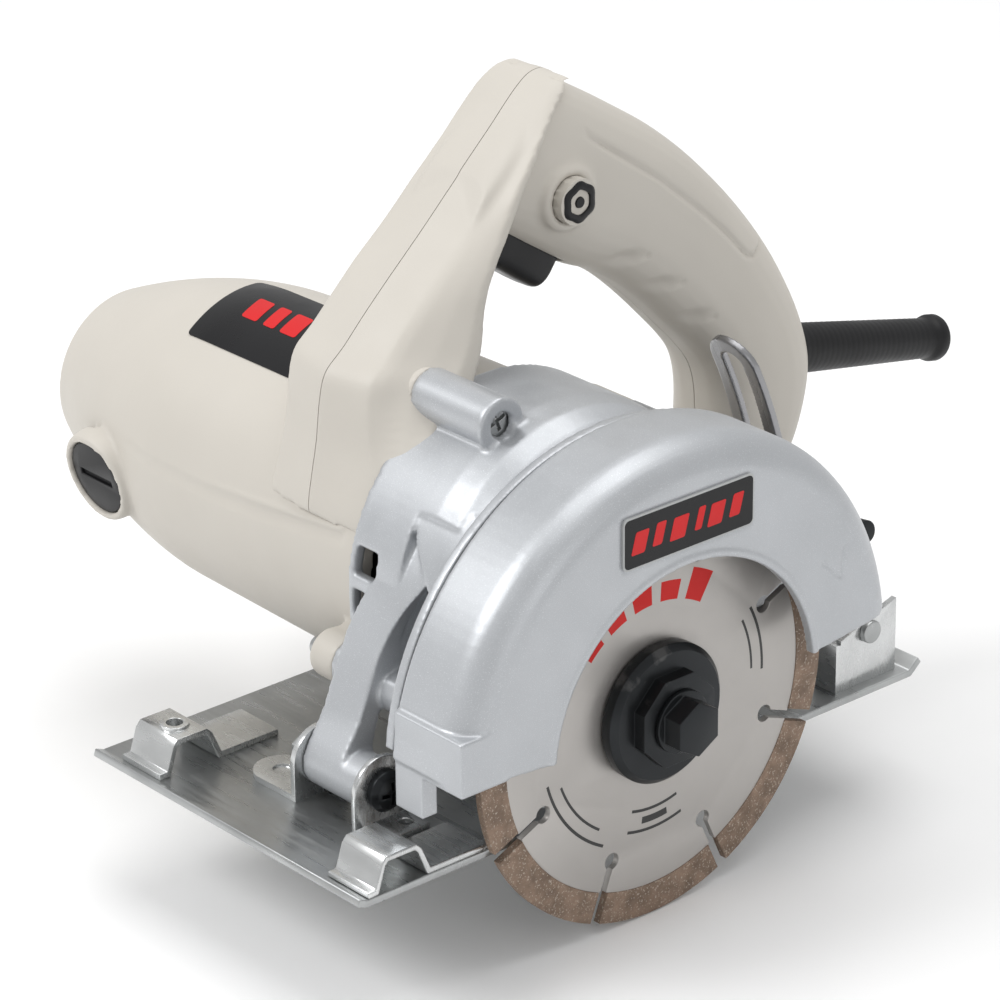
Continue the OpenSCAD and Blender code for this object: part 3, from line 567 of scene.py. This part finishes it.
def leg_ring(row):
    """Level section of the leg: an edge at the front right, a side face that turns out, and round corners."""
    front, back, z, left, edge, side, side_from, fall = row
    corner = min(3.0, max(0.25, (back - front - fall) * 0.3))
    below = front + fall
    y1 = min(max(side_from, below + 0.4), back - 0.3)
    y2 = y1 + (back - y1) * 0.5 if back - corner < y1 + 0.2 else back - corner
    right = [(edge - corner, front + fall * 0.86), (edge - corner * 0.3, below + (y1 - below) * 0.1),
             (edge + (side - edge) * 0.5, below + (y1 - below) * 0.55), (side, y1), (side, y2),
             (side - corner * 0.3, y2 + (back - y2) * 0.7), (side - corner, back)]
    far = [(left + corner, back), (left + corner * 0.3, back - corner * 0.3),
           (left, max(back - corner, front + fall + corner * 1.2)), (left, front + fall + corner),
           (left + corner * 0.3, front + fall + corner * 0.12), (left + corner, front + fall * 0.86)]
    return [Vector((x, y, z)) * MM for x, y in [(PX, front), *right, (PX, back), *far]]


def squared(value, power):
    """A sine or cosine pushed towards 1 or -1, which squares off a round section."""
    return math.copysign(abs(value) ** power, value)


def grip_ring(row):
    """Section of the grip square to its run."""
    outer_y, outer_z, inner_y, inner_z, half_width = row
    outer, inner = Vector((0, outer_y, outer_z)), Vector((0, inner_y, inner_z))
    centre, reach = (outer + inner) / 2, (outer - inner) / 2
    ring = []
    for k in range(GRIP_POINTS):
        a = 2 * math.pi * k / GRIP_POINTS
        x = PX + half_width * squared(math.sin(a), GRIP_SQUARENESS)
        p = centre + reach * squared(math.cos(a), GRIP_SQUARENESS)
        ring.append(Vector((x, p.y, p.z)) * MM)
    return ring


def press_grip_lines(o):
    """The soft insert on the grip's back ends in a line on both sides, with three finger scoops below."""
    for side in (1, -1):
        x = PX + side * GRIP_SIDE
        line = [(PX + side * 7, 30, 157.4), (PX + side * 10.5, 30.8, 155.6), (x, 31.8, 152), (x, 33, 147.4),
                (x, 36, 142), (x, 40, 139), (x, 48, 133.3), (x, 58.7, 125.6), (x, 72.6, 113.8),
                (x, 80.6, 106.4), (x, 88.5, 98), (x, 91.5, 96.6), (PX + side * 12.6, 95, 98.4),
                (PX + side * 10.5, 97.6, 101)]
        groove(o, line, 1.15, 0.85)
        for scoop in SCOOPS:
            (y0, z0), (y1, z1) = scoop[0], scoop[-1]
            dent(o, (x, (y0 + y1) / 2 + 0.5, (z0 + z1) / 2 + 1.4), (6, 8.6, 3.4), ALONG_X, 1.15)
            groove(o, [(x, y, z) for y, z in scoop], 1.0, 0.5)


def split(o, name, keep_right):
    """The part of o on one side of the parting plane, closed along the cut."""
    me = o.data.copy()
    bm = bmesh.new()
    bm.from_mesh(me)
    gap = PARTING_GAP * MM
    x = PART_X + (gap if keep_right else -gap)
    cut = bmesh.ops.bisect_plane(bm, geom=bm.verts[:] + bm.edges[:] + bm.faces[:], plane_co=(x, 0, 0),
                                 plane_no=(-1, 0, 0) if keep_right else (1, 0, 0), clear_outer=True)
    rim = [e for e in cut["geom_cut"] if isinstance(e, bmesh.types.BMEdge)]
    bmesh.ops.holes_fill(bm, edges=rim, sides=0)
    bm.to_mesh(me)
    bm.free()
    out = linked(name, me)
    out.data.set_sharp_from_angle(angle=math.radians(50))
    return out


def add_handle():
    """Leg, grip and the button's collar as one skin, opened for the trigger and the button, then halved."""
    leg = skin("leg", [leg_ring(r) for r in lerp_rows(LEG, 4)], None)
    grip = skin("grip", [grip_ring(r) for r in lerp_rows(GRIP, 4)], None)
    pocket = block("pocket", TRIGGER_AT + INTO * 4 * MM + ALONG * 0.2 * MM, (24.4, 15, 26), ALONG)
    hole = lathe("hole", [(-8, 5.9), (9, 5.9)], (PX * MM + 9 * MM, BUTTON_AT.y, BUTTON_AT.z), ALONG_X,
                 None, 40)
    collar = lathe("collar", [(-3, 8.8), (0.4, 8.4), (1.3, 7.2), (1.3, 6), (-3, 6)],
                   (PX * MM + 14.2 * MM, BUTTON_AT.y, BUTTON_AT.z), ALONG_X, None, 48)
    solid = fused(joined("handle_solid", [leg, grip, collar]), 0.7, 6, BEIGE)
    carve(solid, [pocket, hole], overlapping=False)
    press_grip_lines(solid)
    right_half = split(solid, "handle_right", True)
    left_half = split(solid, "handle_left", False)
    bpy.data.objects.remove(solid)
    stand_in(right_half, "housing", "housing_plastic", "handle_shell_right", "handle_inlay")
    stand_in(left_half, "housing", "housing_plastic", "handle_shell_left")


add_handle()

# ---------------------------------------------------------------- motor housing
BARREL_R = 41                # at the gear housing's end, from where it narrows
BARREL_TAPER = 0.018
DOME_X = -84                 # the barrel's end turns in from here
DOME_DROP = 16
DOME_POWER = 1.75
WALL_R = 37.1                # inside the barrel
BRUSH_TILT = math.radians(11.5)
TOP_LUG = 112.3
LUGS = ((TOP_LUG, 15.5), (202.3, 9), (337.7, 15.5), (22.3, 15.5))      # degrees round the axis, length
LUG_CIRCLE = 48
SLOT_PITCH = 7               # cooling slots under the rear end
RIDGE = [(-100, -42.4, 57.6), (-84, -43.2, 56.2), (-63, -43.2, 56.2), (-43, -42.9, 57.6), (-24, -42.4, 59.4),
         (-9, -42, 61)]


def barrel(x):
    """Radius of the motor's barrel."""
    r = BARREL_R + BARREL_TAPER * x
    if x < DOME_X:
        r -= DOME_DROP * max(0.0, (DOME_X - x) / (MOTOR_LENGTH + DOME_X)) ** DOME_POWER
    return r


def round_axis(radius, angle, x=0):
    """A point at a radius and an angle round the motor's axis."""
    return Vector((x, AXIS.y + radius * MM * math.cos(angle), AXIS.z + radius * MM * math.sin(angle)))


def motor_shell():
    body_xs = [-8, -20, -40, -60, -80] + list(np.linspace(DOME_X, -MOTOR_LENGTH + 1.4, 16))
    outer = [(0, BARREL_R)] + [(x, barrel(x)) for x in body_xs]
    end = barrel(-MOTOR_LENGTH)
    outer += [(-MOTOR_LENGTH + 0.4, end - 1.4), (-MOTOR_LENGTH, end - 4), (-MOTOR_LENGTH, 0.01)]
    inner = [(-141, 0.01), (-141, 6), (-138.2, 6), (-138.2, 11.1), (-130, 11.1), (-130, 23), (-120, 23),
             (-120, 30), (-101, 30), (-101, 34), (-90, 34), (-90, WALL_R), (0, WALL_R)]
    return lathe("shell", outer + inner + [outer[0]], (0, AXIS.y, AXIS.z), ALONG_X, None, 160)


def brush_bosses():
    """Round bosses with a counterbore for the two brush caps."""
    profile = [(34.5, 12.6), (37.6, 12.5), (39.4, 12.1), (40, 11.4), (40, 10.3), (36.4, 10.3), (36.4, 6.2),
               (34.5, 6.2), (34.5, 12.6)]
    out = Vector((0, math.cos(BRUSH_TILT), math.sin(BRUSH_TILT)))
    at = (mid("brush_caps").x, AXIS.y, AXIS.z)
    return [lathe("boss", profile, at, d, None, 64) for d in (-out, out)]


def screw_lugs():
    """Four tubes for the housing screws, each with a web down to the barrel."""
    parts = []
    for degrees, long in LUGS:
        angle = math.radians(degrees)
        centre = round_axis(LUG_CIRCLE, angle)
        profile = [(-long, 5.4), (-long + 1, 6.3), (0, 6.3), (0, 2.45), (-long, 2.45), (-long, 5.4)]
        parts.append(lathe("lug", profile, centre, ALONG_X, None, 40))
        outward = Vector((0, math.cos(angle), math.sin(angle)))
        parts.append(lathe("web", [(-long + 1.5, 5), (0, 5)], centre - outward * 5 * MM, ALONG_X, None, 24))
    return parts


def add_motor_housing():
    strut = prism("strut", [(20, 18), (34, 12), (80, 22), (83.6, 36), (85, 50), (78, 44), (66, 36), (52, 31),
                            (38, 30)], PX - 9, PX + 9)
    motor = joined("motor_form", [motor_shell(), *brush_bosses(), *screw_lugs(), strut])
    slots = [block("slot", (-102 * MM, AXIS.y + i * SLOT_PITCH * MM, AXIS.z - 34 * MM), (22, 3, 16), ALONG_X)
             for i in range(-3, 4)]
    carve(motor, [joined("slots", slots)])
    fused(motor, 0.7, 3, BEIGE)
    groove(motor, RIDGE, 1.5, -0.55)
    groove(motor, [(x, y, z - 2.6) for x, y, z in RIDGE], 2.6, 0.5)
    rear_ridge = [(x, 2 * AXIS.y / MM - y, 2 * AXIS.z / MM - z) for x, y, z in RIDGE]
    groove(motor, rear_ridge, 1.5, -0.55)
    stand_in(motor, "housing", "housing_plastic", "motor_housing")


add_motor_housing()

# ---------------------------------------------------------------- castings
ARM = [  # y, z, left x, right x of the front pivot arm's face
    (-41.5, 66, 15.5, 30), (-44.6, 61.5, 13, 28), (-47.2, 56.5, 10, 25), (-49.8, 50.5, 7.2, 21.5),
    (-52.6, 43.5, 5.4, 19), (-55.3, 36.5, 4.8, 18), (-58.4, 29, 4.8, 18), (-61.6, 21.5, 4.8, 18),
    (-65.8, 14.5, 4.8, 18)]
ARM_BACK, ARM_RISE = 7, 3
WEB = [  # angle round the motor's axis, left x of the web between the arm and the guard
    (140, 17), (152, 19), (158, 22), (166, 27), (175, 31), (184, 34.5), (193, 36.8)]
WEB_X, WEB_R = 37.4, 30


def pivot_arm():
    rings = []
    for y, z, x0, x1 in lerp_rows(ARM, 4):
        corners = ((x0, y, z), (x1, y, z), (x1, y + ARM_BACK, z + ARM_RISE), (x0, y + ARM_BACK, z + ARM_RISE))
        rings.append([Vector(p) * MM for p in corners])
    return skin("arm", rings, None)


def guard_web():
    rings = []
    for degrees, x0 in lerp_rows(WEB, 4):
        angle = math.radians(degrees)
        rings.append([round_axis(r, angle, x * MM)
                      for x, r in ((x0, WEB_R), (WEB_X, WEB_R), (WEB_X, 43.6), (x0, 44.6))])
    return skin("web", rings, None)


def add_gear_housing():
    gear = node_copy("gear_housing", "gear_form")
    lip = lathe("boss_lip", [(24.5, 6.9), (25.4, 6.9), (26, 6.3), (26, 3.4), (24.5, 3.4), (24.5, 6.9)],
                round_axis(47.5, math.radians(TOP_LUG)), ALONG_X, None, 48)
    gear = fused(joined("gear_form", [gear, lip, pivot_arm(), guard_web()]), 0.6, 3, SILVER)
    stand_in(gear, "housing", "silver_cast", "gear_housing")


def add_guard():
    guard = fused(node_copy("blade_guard", "guard_form"), 0.5, 4, SILVER)
    stand_in(guard, "housing", "silver_cast", "blade_guard")


add_gear_housing()
add_guard()

# ---------------------------------------------------------------- hardware with soft edges
HARDWARE = (  # node, material, bevel in millimetres, body, slot
    ("outer_flange", OXIDE, 0.7, "blade_spindle", "black_steel"),
    ("arbor_bolt", OXIDE, 0.4, "blade_spindle", "black_steel"),
    ("inner_flange", OXIDE, 0.3, "blade_spindle", "black_steel"),
    ("base_plate", ZINC, 0.35, "base", "zinc_steel"),
    ("pivot_bracket_left", BRIGHT, 0.35, "base", "zinc_steel"),
    ("pivot_bracket_right", BRIGHT, 0.35, "base", "zinc_steel"),
    ("pivot_nut", ZINC, 0.4, "base", "zinc_steel"),
    ("pivot_bolt", OXIDE, 0.25, "base", "black_steel"),
    ("fence_strap_left", BRIGHT, 0.5, "base", "zinc_steel"),
    ("fence_strap_right", BRIGHT, 0.5, "base", "zinc_steel"),
    ("rear_bracket", BRIGHT, 0.35, "base", "zinc_steel"),
    ("rear_bracket_screw", ZINC, 0.4, "base", "zinc_steel"),
    ("depth_bolt", ZINC, 0.3, "housing", "zinc_steel"),
    ("clamp_lever", OXIDE, 0.7, "clamp_lever", "black_steel"),
    ("brush_caps", BLACK, 0.35, "housing", "black_plastic"),
    ("housing_screws", ZINC, 0.35, "housing", "black_steel"),
    ("handle_screws", OXIDE, 0.3, "housing", "black_steel"),
    ("guard_screws", OXIDE, 0.35, "housing", "black_steel"),
    ("bearing_box", SILVER, 0.3, "housing", "silver_cast"))
for node, mat, width, body, slot in HARDWARE:
    soft_node(node, mat, width, body, slot)

# ---------------------------------------------------------------- blade with gaps between its segments
SEGMENTS = 8
FIRST_GAP = 24.3             # degrees round the arbor
GAP_FROM, GAP_TO = 39, 60    # millimetres out from the arbor


def gap_cutter(k, gap):
    """Bar across the blade, as wide as the gap, at one of the slots between segments."""
    angle = math.radians(FIRST_GAP + 360 // SEGMENTS * k)
    out = Vector((0, math.cos(angle), math.sin(angle)))
    across = Vector((0, -out.z, out.y)) * gap / 2
    rings = [[ARBOR + (out * t + Vector((x, 0, 0)) + across * w) * MM
              for x, w in ((-4, -1), (4, -1), (4, 1), (-4, 1))] for t in (GAP_FROM, GAP_TO)]
    return skin("gap", rings, None)


def add_blade_piece(node, mat, width, gap, slot):
    o = node_copy(node, node + "_form", mat)
    carve(o, [joined("gaps", [gap_cutter(k, gap) for k in range(SEGMENTS)])])
    stand_in(softened(o, width), "blade_spindle", slot, node)


add_blade_piece("blade_segments", SEGMENT, 0.18, 3.0, "diamond_bond")
add_blade_piece("blade_core", BLADE, 0.12, 2.0, "blade_steel")

# ---------------------------------------------------------------- depth strip
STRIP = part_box("depth_strip")
STRIP_X = (STRIP[0].x + STRIP[1].x) / 2
STRIP_HALF = (STRIP[1].x - STRIP[0].x) / 2 / MM
STRIP_R = 150.0              # from the base's hinge to the middle of the strip
STRIP_IN, STRIP_OUT = STRIP_R - 1, STRIP_R + 1
SLOT_HALF = 3.5
FOOT_ANGLE = math.radians(-3.4)
SLOT_ANGLE = math.radians(5.2)
TOP_ANGLE = math.asin((STRIP[1].z - HINGE.z) / (STRIP_OUT * MM))
TIP_ANGLE = math.radians(math.degrees(TOP_ANGLE) - 3.1)      # where the round tip begins


def strip_point(a, x, r):
    """A point at angle a and radius r round the base's hinge, x out from the strip's middle."""
    return HINGE + Vector((STRIP_X - HINGE.x + x * MM, r * MM * math.cos(a), r * MM * math.sin(a)))


def strip_band(a0, a1, left, right, steps=40):
    """Curved bar between two angles and two sides."""
    rings = []
    for k in range(steps + 1):
        a = a0 + (a1 - a0) * k / steps
        rings.append([strip_point(a, x, r) for x, r in ((left, STRIP_IN), (right, STRIP_IN),
                                                        (right, STRIP_OUT), (left, STRIP_OUT))])
    return skin("rail", rings, None, smooth=False)


def strip_tip(steps=18):
    """Half ring that joins the two rails over the slot's end."""
    rings = []
    for k in range(steps + 1):
        b = math.pi * k / steps
        rings.append([strip_point(TIP_ANGLE + q * math.sin(b) / STRIP_R, q * math.cos(b), r)
                      for q, r in ((SLOT_HALF, STRIP_IN), (STRIP_HALF, STRIP_IN), (STRIP_HALF, STRIP_OUT),
                                   (SLOT_HALF, STRIP_OUT))])
    return skin("tip", rings, None, smooth=False)


def add_depth_strip():
    bits = [strip_band(SLOT_ANGLE, TIP_ANGLE, SLOT_HALF, STRIP_HALF),
            strip_band(SLOT_ANGLE, TIP_ANGLE, -STRIP_HALF, -SLOT_HALF),
            strip_band(FOOT_ANGLE, SLOT_ANGLE, -STRIP_HALF, STRIP_HALF, 10), strip_tip()]
    bits.append(block("foot", (STRIP_X, 82 * MM, 3 * MM), (STRIP_HALF * 2, 15.6, 2), ALONG_X))
    strip = fused(joined("strip_form", bits), 0.4, 3, STRIP_STEEL)
    stand_in(strip, "base", "zinc_steel", "depth_strip")


add_depth_strip()

# ---------------------------------------------------------------- trigger, button, cord guard
TRIGGER = [  # along the grip, lowest point, half width
    (-11.2, -5, 6), (-10.4, -7, 6.5), (-8.6, -8.2, 6.8), (-3, -8.2, 6.9), (4, -7.9, 6.9), (9, -8.2, 6.9),
    (10.7, -8, 6.6), (11.2, -7.2, 6.1)]
TRIGGER_TOP = 7.6
TRIGGER_POINTS = 24
TRIGGER_SQUARENESS = 0.42


def trigger_ring(along, low, half_width):
    """Section of the trigger across the grip, from its top inside the handle to its lowest point."""
    middle, half_depth = (TRIGGER_TOP + low) / 2, (TRIGGER_TOP - low) / 2
    ring = []
    for k in range(TRIGGER_POINTS):
        a = 2 * math.pi * k / TRIGGER_POINTS
        x = half_width * squared(math.cos(a), TRIGGER_SQUARENESS)
        z = middle + half_depth * squared(math.sin(a), TRIGGER_SQUARENESS)
        ring.append(TRIGGER_AT + Vector((x * MM, 0, 0)) + ALONG * along * MM + INTO * z * MM)
    return ring


def add_trigger():
    form = skin("trigger_form", [trigger_ring(*row) for row in lerp_rows(TRIGGER, 4)], BLACK)
    stand_in(fused(form, 0.45, 3, BLACK), "trigger", "black_plastic", "trigger")


def finger_flutes(a, r):
    """Six shallow flutes round the button's cap."""
    return r * (1 - 0.09 * (0.5 + 0.5 * math.cos(6 * a))) if r > 3.2 else r


def add_lock_button():
    profile = [(-12, 2.9), (-7.6, 2.9), (-7.2, 5.2), (-2.4, 5.3), (-2, 5.6), (-0.9, 5.6), (-0.3, 5.2),
               (0, 4.4), (-0.1, 3.4), (-0.9, 3), (-0.9, 1.6), (-0.2, 1.3), (-0.2, 0.1)]
    knob = lathe("button_form", profile, (BUTTON_FACE * MM, BUTTON_AT.y, BUTTON_AT.z), ALONG_X, BLACK, 96,
                 wave=finger_flutes)
    knob.data.set_sharp_from_angle(angle=math.radians(45))
    stand_in(knob, "lock_button", "black_plastic", "lock_button")


RIBS = 26
RIB_PITCH = 2
GUARD_BORE = 3.6


def add_cord_guard():
    """Ribbed, tapered strain relief with a bead at its end."""
    entry = next(m for m in frame["record"]["mounts"] if m["name"] == "cord_entry")
    profile = [(-6, GUARD_BORE), (-6, 6.6), (-5.4, 6.95), (0, 6.95), (1, 6.6), (1.6, 6.2), (2.6, 6.3)]
    for k in range(RIBS):
        t = 3 + k * RIB_PITCH
        r = 6.9 - 1.5 * (t / 58)
        profile += [(t, r), (t + 0.9, r + 0.02), (t + 1.3, r - 0.05)]
    profile += [(56, 5.5), (57, 5.6), (57.8, 6.1), (58.6, 6.35), (60.6, 6.35), (61.2, 6.1), (61.5, 5.5),
                (61.5, GUARD_BORE), (-6, GUARD_BORE)]
    form = lathe("cord_guard_form", profile, Vector(entry["pos_m"]), Vector(entry["axis"]), RUBBER, 64)
    form.data.set_sharp_from_angle(angle=math.radians(50))
    stand_in(form, "housing", "rubber_black", "cord_guard")


add_trigger()
add_lock_button()
add_cord_guard()


# ---------------------------------------------------------------- labels
def rounded(w, h, r, steps=8, skew=0.0):
    """Outline of a rectangle with round corners, leaned over by the skew."""
    out = []
    for cx, cy, a0 in ((w / 2 - r, h / 2 - r, 0), (-w / 2 + r, h / 2 - r, 90), (-w / 2 + r, -h / 2 + r, 180),
                       (w / 2 - r, -h / 2 + r, 270)):
        for k in range(steps + 1):
            a = math.radians(a0 + 90 * k / steps)
            px, py = cx + r * math.cos(a), cy + r * math.sin(a)
            out.append((px + skew * py, py))
    return out


def plate(name, outline, place, low, high, mat):
    """Thin plate between two heights; place(u, v, h) gives a point."""
    rings = [[place(u, v, low) for u, v in outline], [place(u, v, high) for u, v in outline]]
    return skin(name, rings, mat, smooth=False)


def fine_plate(name, outline, place, low, high, mat, step=2.0):
    """A plate with enough points along its face to bend round a barrel."""
    o = plate(name, outline, lambda u, v, h: Vector((u, v, h)) * MM, low, high, mat)
    bm = bmesh.new()
    bm.from_mesh(o.data)
    us = [u for u, v in outline]
    vs = [v for u, v in outline]
    for first, last, normal in ((min(us), max(us), (1, 0, 0)), (min(vs), max(vs), (0, 1, 0))):
        t = first + step
        while t < last:
            at = Vector(normal) * t * MM
            bmesh.ops.bisect_plane(bm, geom=bm.verts[:] + bm.edges[:] + bm.faces[:], plane_co=at,
                                   plane_no=normal)
            t += step
    for v in bm.verts:
        v.co = place(v.co.x / MM, v.co.y / MM, v.co.z / MM)
    bmesh.ops.recalc_face_normals(bm, faces=bm.faces)
    bm.to_mesh(o.data)
    bm.free()
    shade_smooth(o)
    o.data.set_sharp_from_angle(angle=SHARP_ANGLE)
    return o


GUARD_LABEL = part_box("guard_label")
GUARD_LABEL_AT = mid("guard_label")
GUARD_BARS = ((-15.5, 4.2), (-9.5, 3.0), (-3.2, 4.8), (3.4, 2.2), (8.6, 4.6), (15, 3.4))      # middle, width


def on_guard(u, v, h):
    """u along the label and v up from its middle, h above the guard's face."""
    return Vector((GUARD_LABEL[1].x + h * MM, GUARD_LABEL_AT.y + u * MM, GUARD_LABEL_AT.z + v * MM))


def add_guard_label():
    width = (GUARD_LABEL[1].y - GUARD_LABEL[0].y) / MM
    height = (GUARD_LABEL[1].z - GUARD_LABEL[0].z) / MM
    border = plate("guard_label_border", rounded(width, height, 1.6), on_guard, -0.7, 0.0, BORDER)
    stand_in(border, "housing", "label_black", "guard_label")
    face = plate("guard_label_face", rounded(width - 0.9, height - 0.9, 1.3), on_guard, -0.6, 0.06, LABEL)
    stand_in(face, "housing", "label_black")
    for i, (u, w) in enumerate(GUARD_BARS):
        rise = 0.2 if i % 2 else -0.2
        outline = [(x + u, y + rise) for x, y in rounded(w, 5.6, 0.5, 4, 0.28)]
        stand_in(plate(f"guard_label_bar_{i}", outline, on_guard, -0.2, 0.1, RED), "housing", "label_black")


MOTOR_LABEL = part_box("motor_label")
MOTOR_LABEL_X = (MOTOR_LABEL[0].x / MM + MOTOR_LABEL[1].x / MM) / 2
MOTOR_LABEL_ANGLE = math.radians(102)
MOTOR_BARS = ((-12, 6), (-4.2, 4.4), (3.4, 6.2), (11.4, 4), (18, 5.4))      # middle, width


def on_barrel(u, v, h):
    """u along the motor, v round the barrel from the label's middle, h above the barrel."""
    x = MOTOR_LABEL_X + u
    return round_axis(barrel(x) + h, MOTOR_LABEL_ANGLE + v / BARREL_R, x * MM)


def add_motor_label():
    length = MOTOR_LABEL[1].x / MM - MOTOR_LABEL[0].x / MM
    face = fine_plate("motor_label_face", rounded(length, 30, 1.5, 6, 0.16), on_barrel, -0.3, 0.22, LABEL)
    stand_in(face, "housing", "label_black", "motor_label")
    for i, (u, w) in enumerate(MOTOR_BARS):
        outline = [(x + u, y - 1) for x, y in rounded(w, 9, 0.8, 4, 0.3)]
        bar = fine_plate(f"motor_label_bar_{i}", outline, on_barrel, -0.1, 0.3, RED)
        stand_in(bar, "housing", "label_black")


add_guard_label()
add_motor_label()

# ---------------------------------------------------------------- materials of the carried-over nodes
KEPT = {
    "rear_armature_bearing": STEEL, "front_armature_bearing": STEEL, "spindle_needle_bearing": STEEL,
    "spindle_ball_bearing": STEEL, "brush_holders": BRASS, "carbon_brushes": CARBON, "field_core": LAMINATED,
    "field_coils": COPPER, "fan_baffle": INNER, "bearing_box_screws": OXIDE, "switch_body": INNER,
    "cord_clamp": INNER, "armature_shaft": STEEL, "armature_core": LAMINATED, "armature_windings": COPPER,
    "commutator": COPPER, "fan": INNER, "spindle": STEEL, "driven_gear": STEEL, "gear_key": STEEL}
for node, mat in KEPT.items():
    me = NODES[node].data
    for i in range(len(me.materials)):
        me.materials[i] = mat

# ---------------------------------------------------------------- floor and light
FLOOR_HALF = 4
FLOOR_GAP = 0.0003           # metres below the part's lowest point


def add_floor():
    mat = node_material("floor", (0.93, 0.93, 0.93), 0.9, vary=0.004, grain=60, depth=0.01, spec=0.1)
    corners = [(x * FLOOR_HALF, y * FLOOR_HALF, 0) for x, y in ((-1, -1), (1, -1), (1, 1), (-1, 1))]
    floor = make("floor", corners, [(0, 1, 2, 3)], mat)
    floor.location.z = cad_lo.z - FLOOR_GAP


def area(name, place, target, size, power):
    """Rectangular lamp aimed at a point."""
    data = bpy.data.lights.new(name, "AREA")
    data.shape = "RECTANGLE"
    data.size, data.size_y = size
    data.energy = power
    o = linked(name, data)
    o.location = place
    o.rotation_mode = "QUATERNION"
    o.rotation_quaternion = (Vector(target) - Vector(place)).to_track_quat("-Z", "Y")


def add_world(strength):
    world = bpy.data.worlds.new("world")
    bpy.context.scene.world = world
    world.use_nodes = True
    background = world.node_tree.nodes["Background"]
    background.inputs["Color"].default_value = (1, 1, 1, 1)
    background.inputs["Strength"].default_value = strength


add_floor()
area("key", (-0.5, -0.9, 1.0), (0, 0, 0.06), (0.6, 0.5), 8.5)
area("fill", (1.3, -0.1, 0.45), (0, 0, 0.06), (0.6, 0.6), 1.3)
area("top", (0.0, 0.25, 1.3), (0, 0, 0.05), (1.2, 1.0), 8.5)
add_world(0.62)
bpy.context.scene.view_settings.view_transform = "Standard"
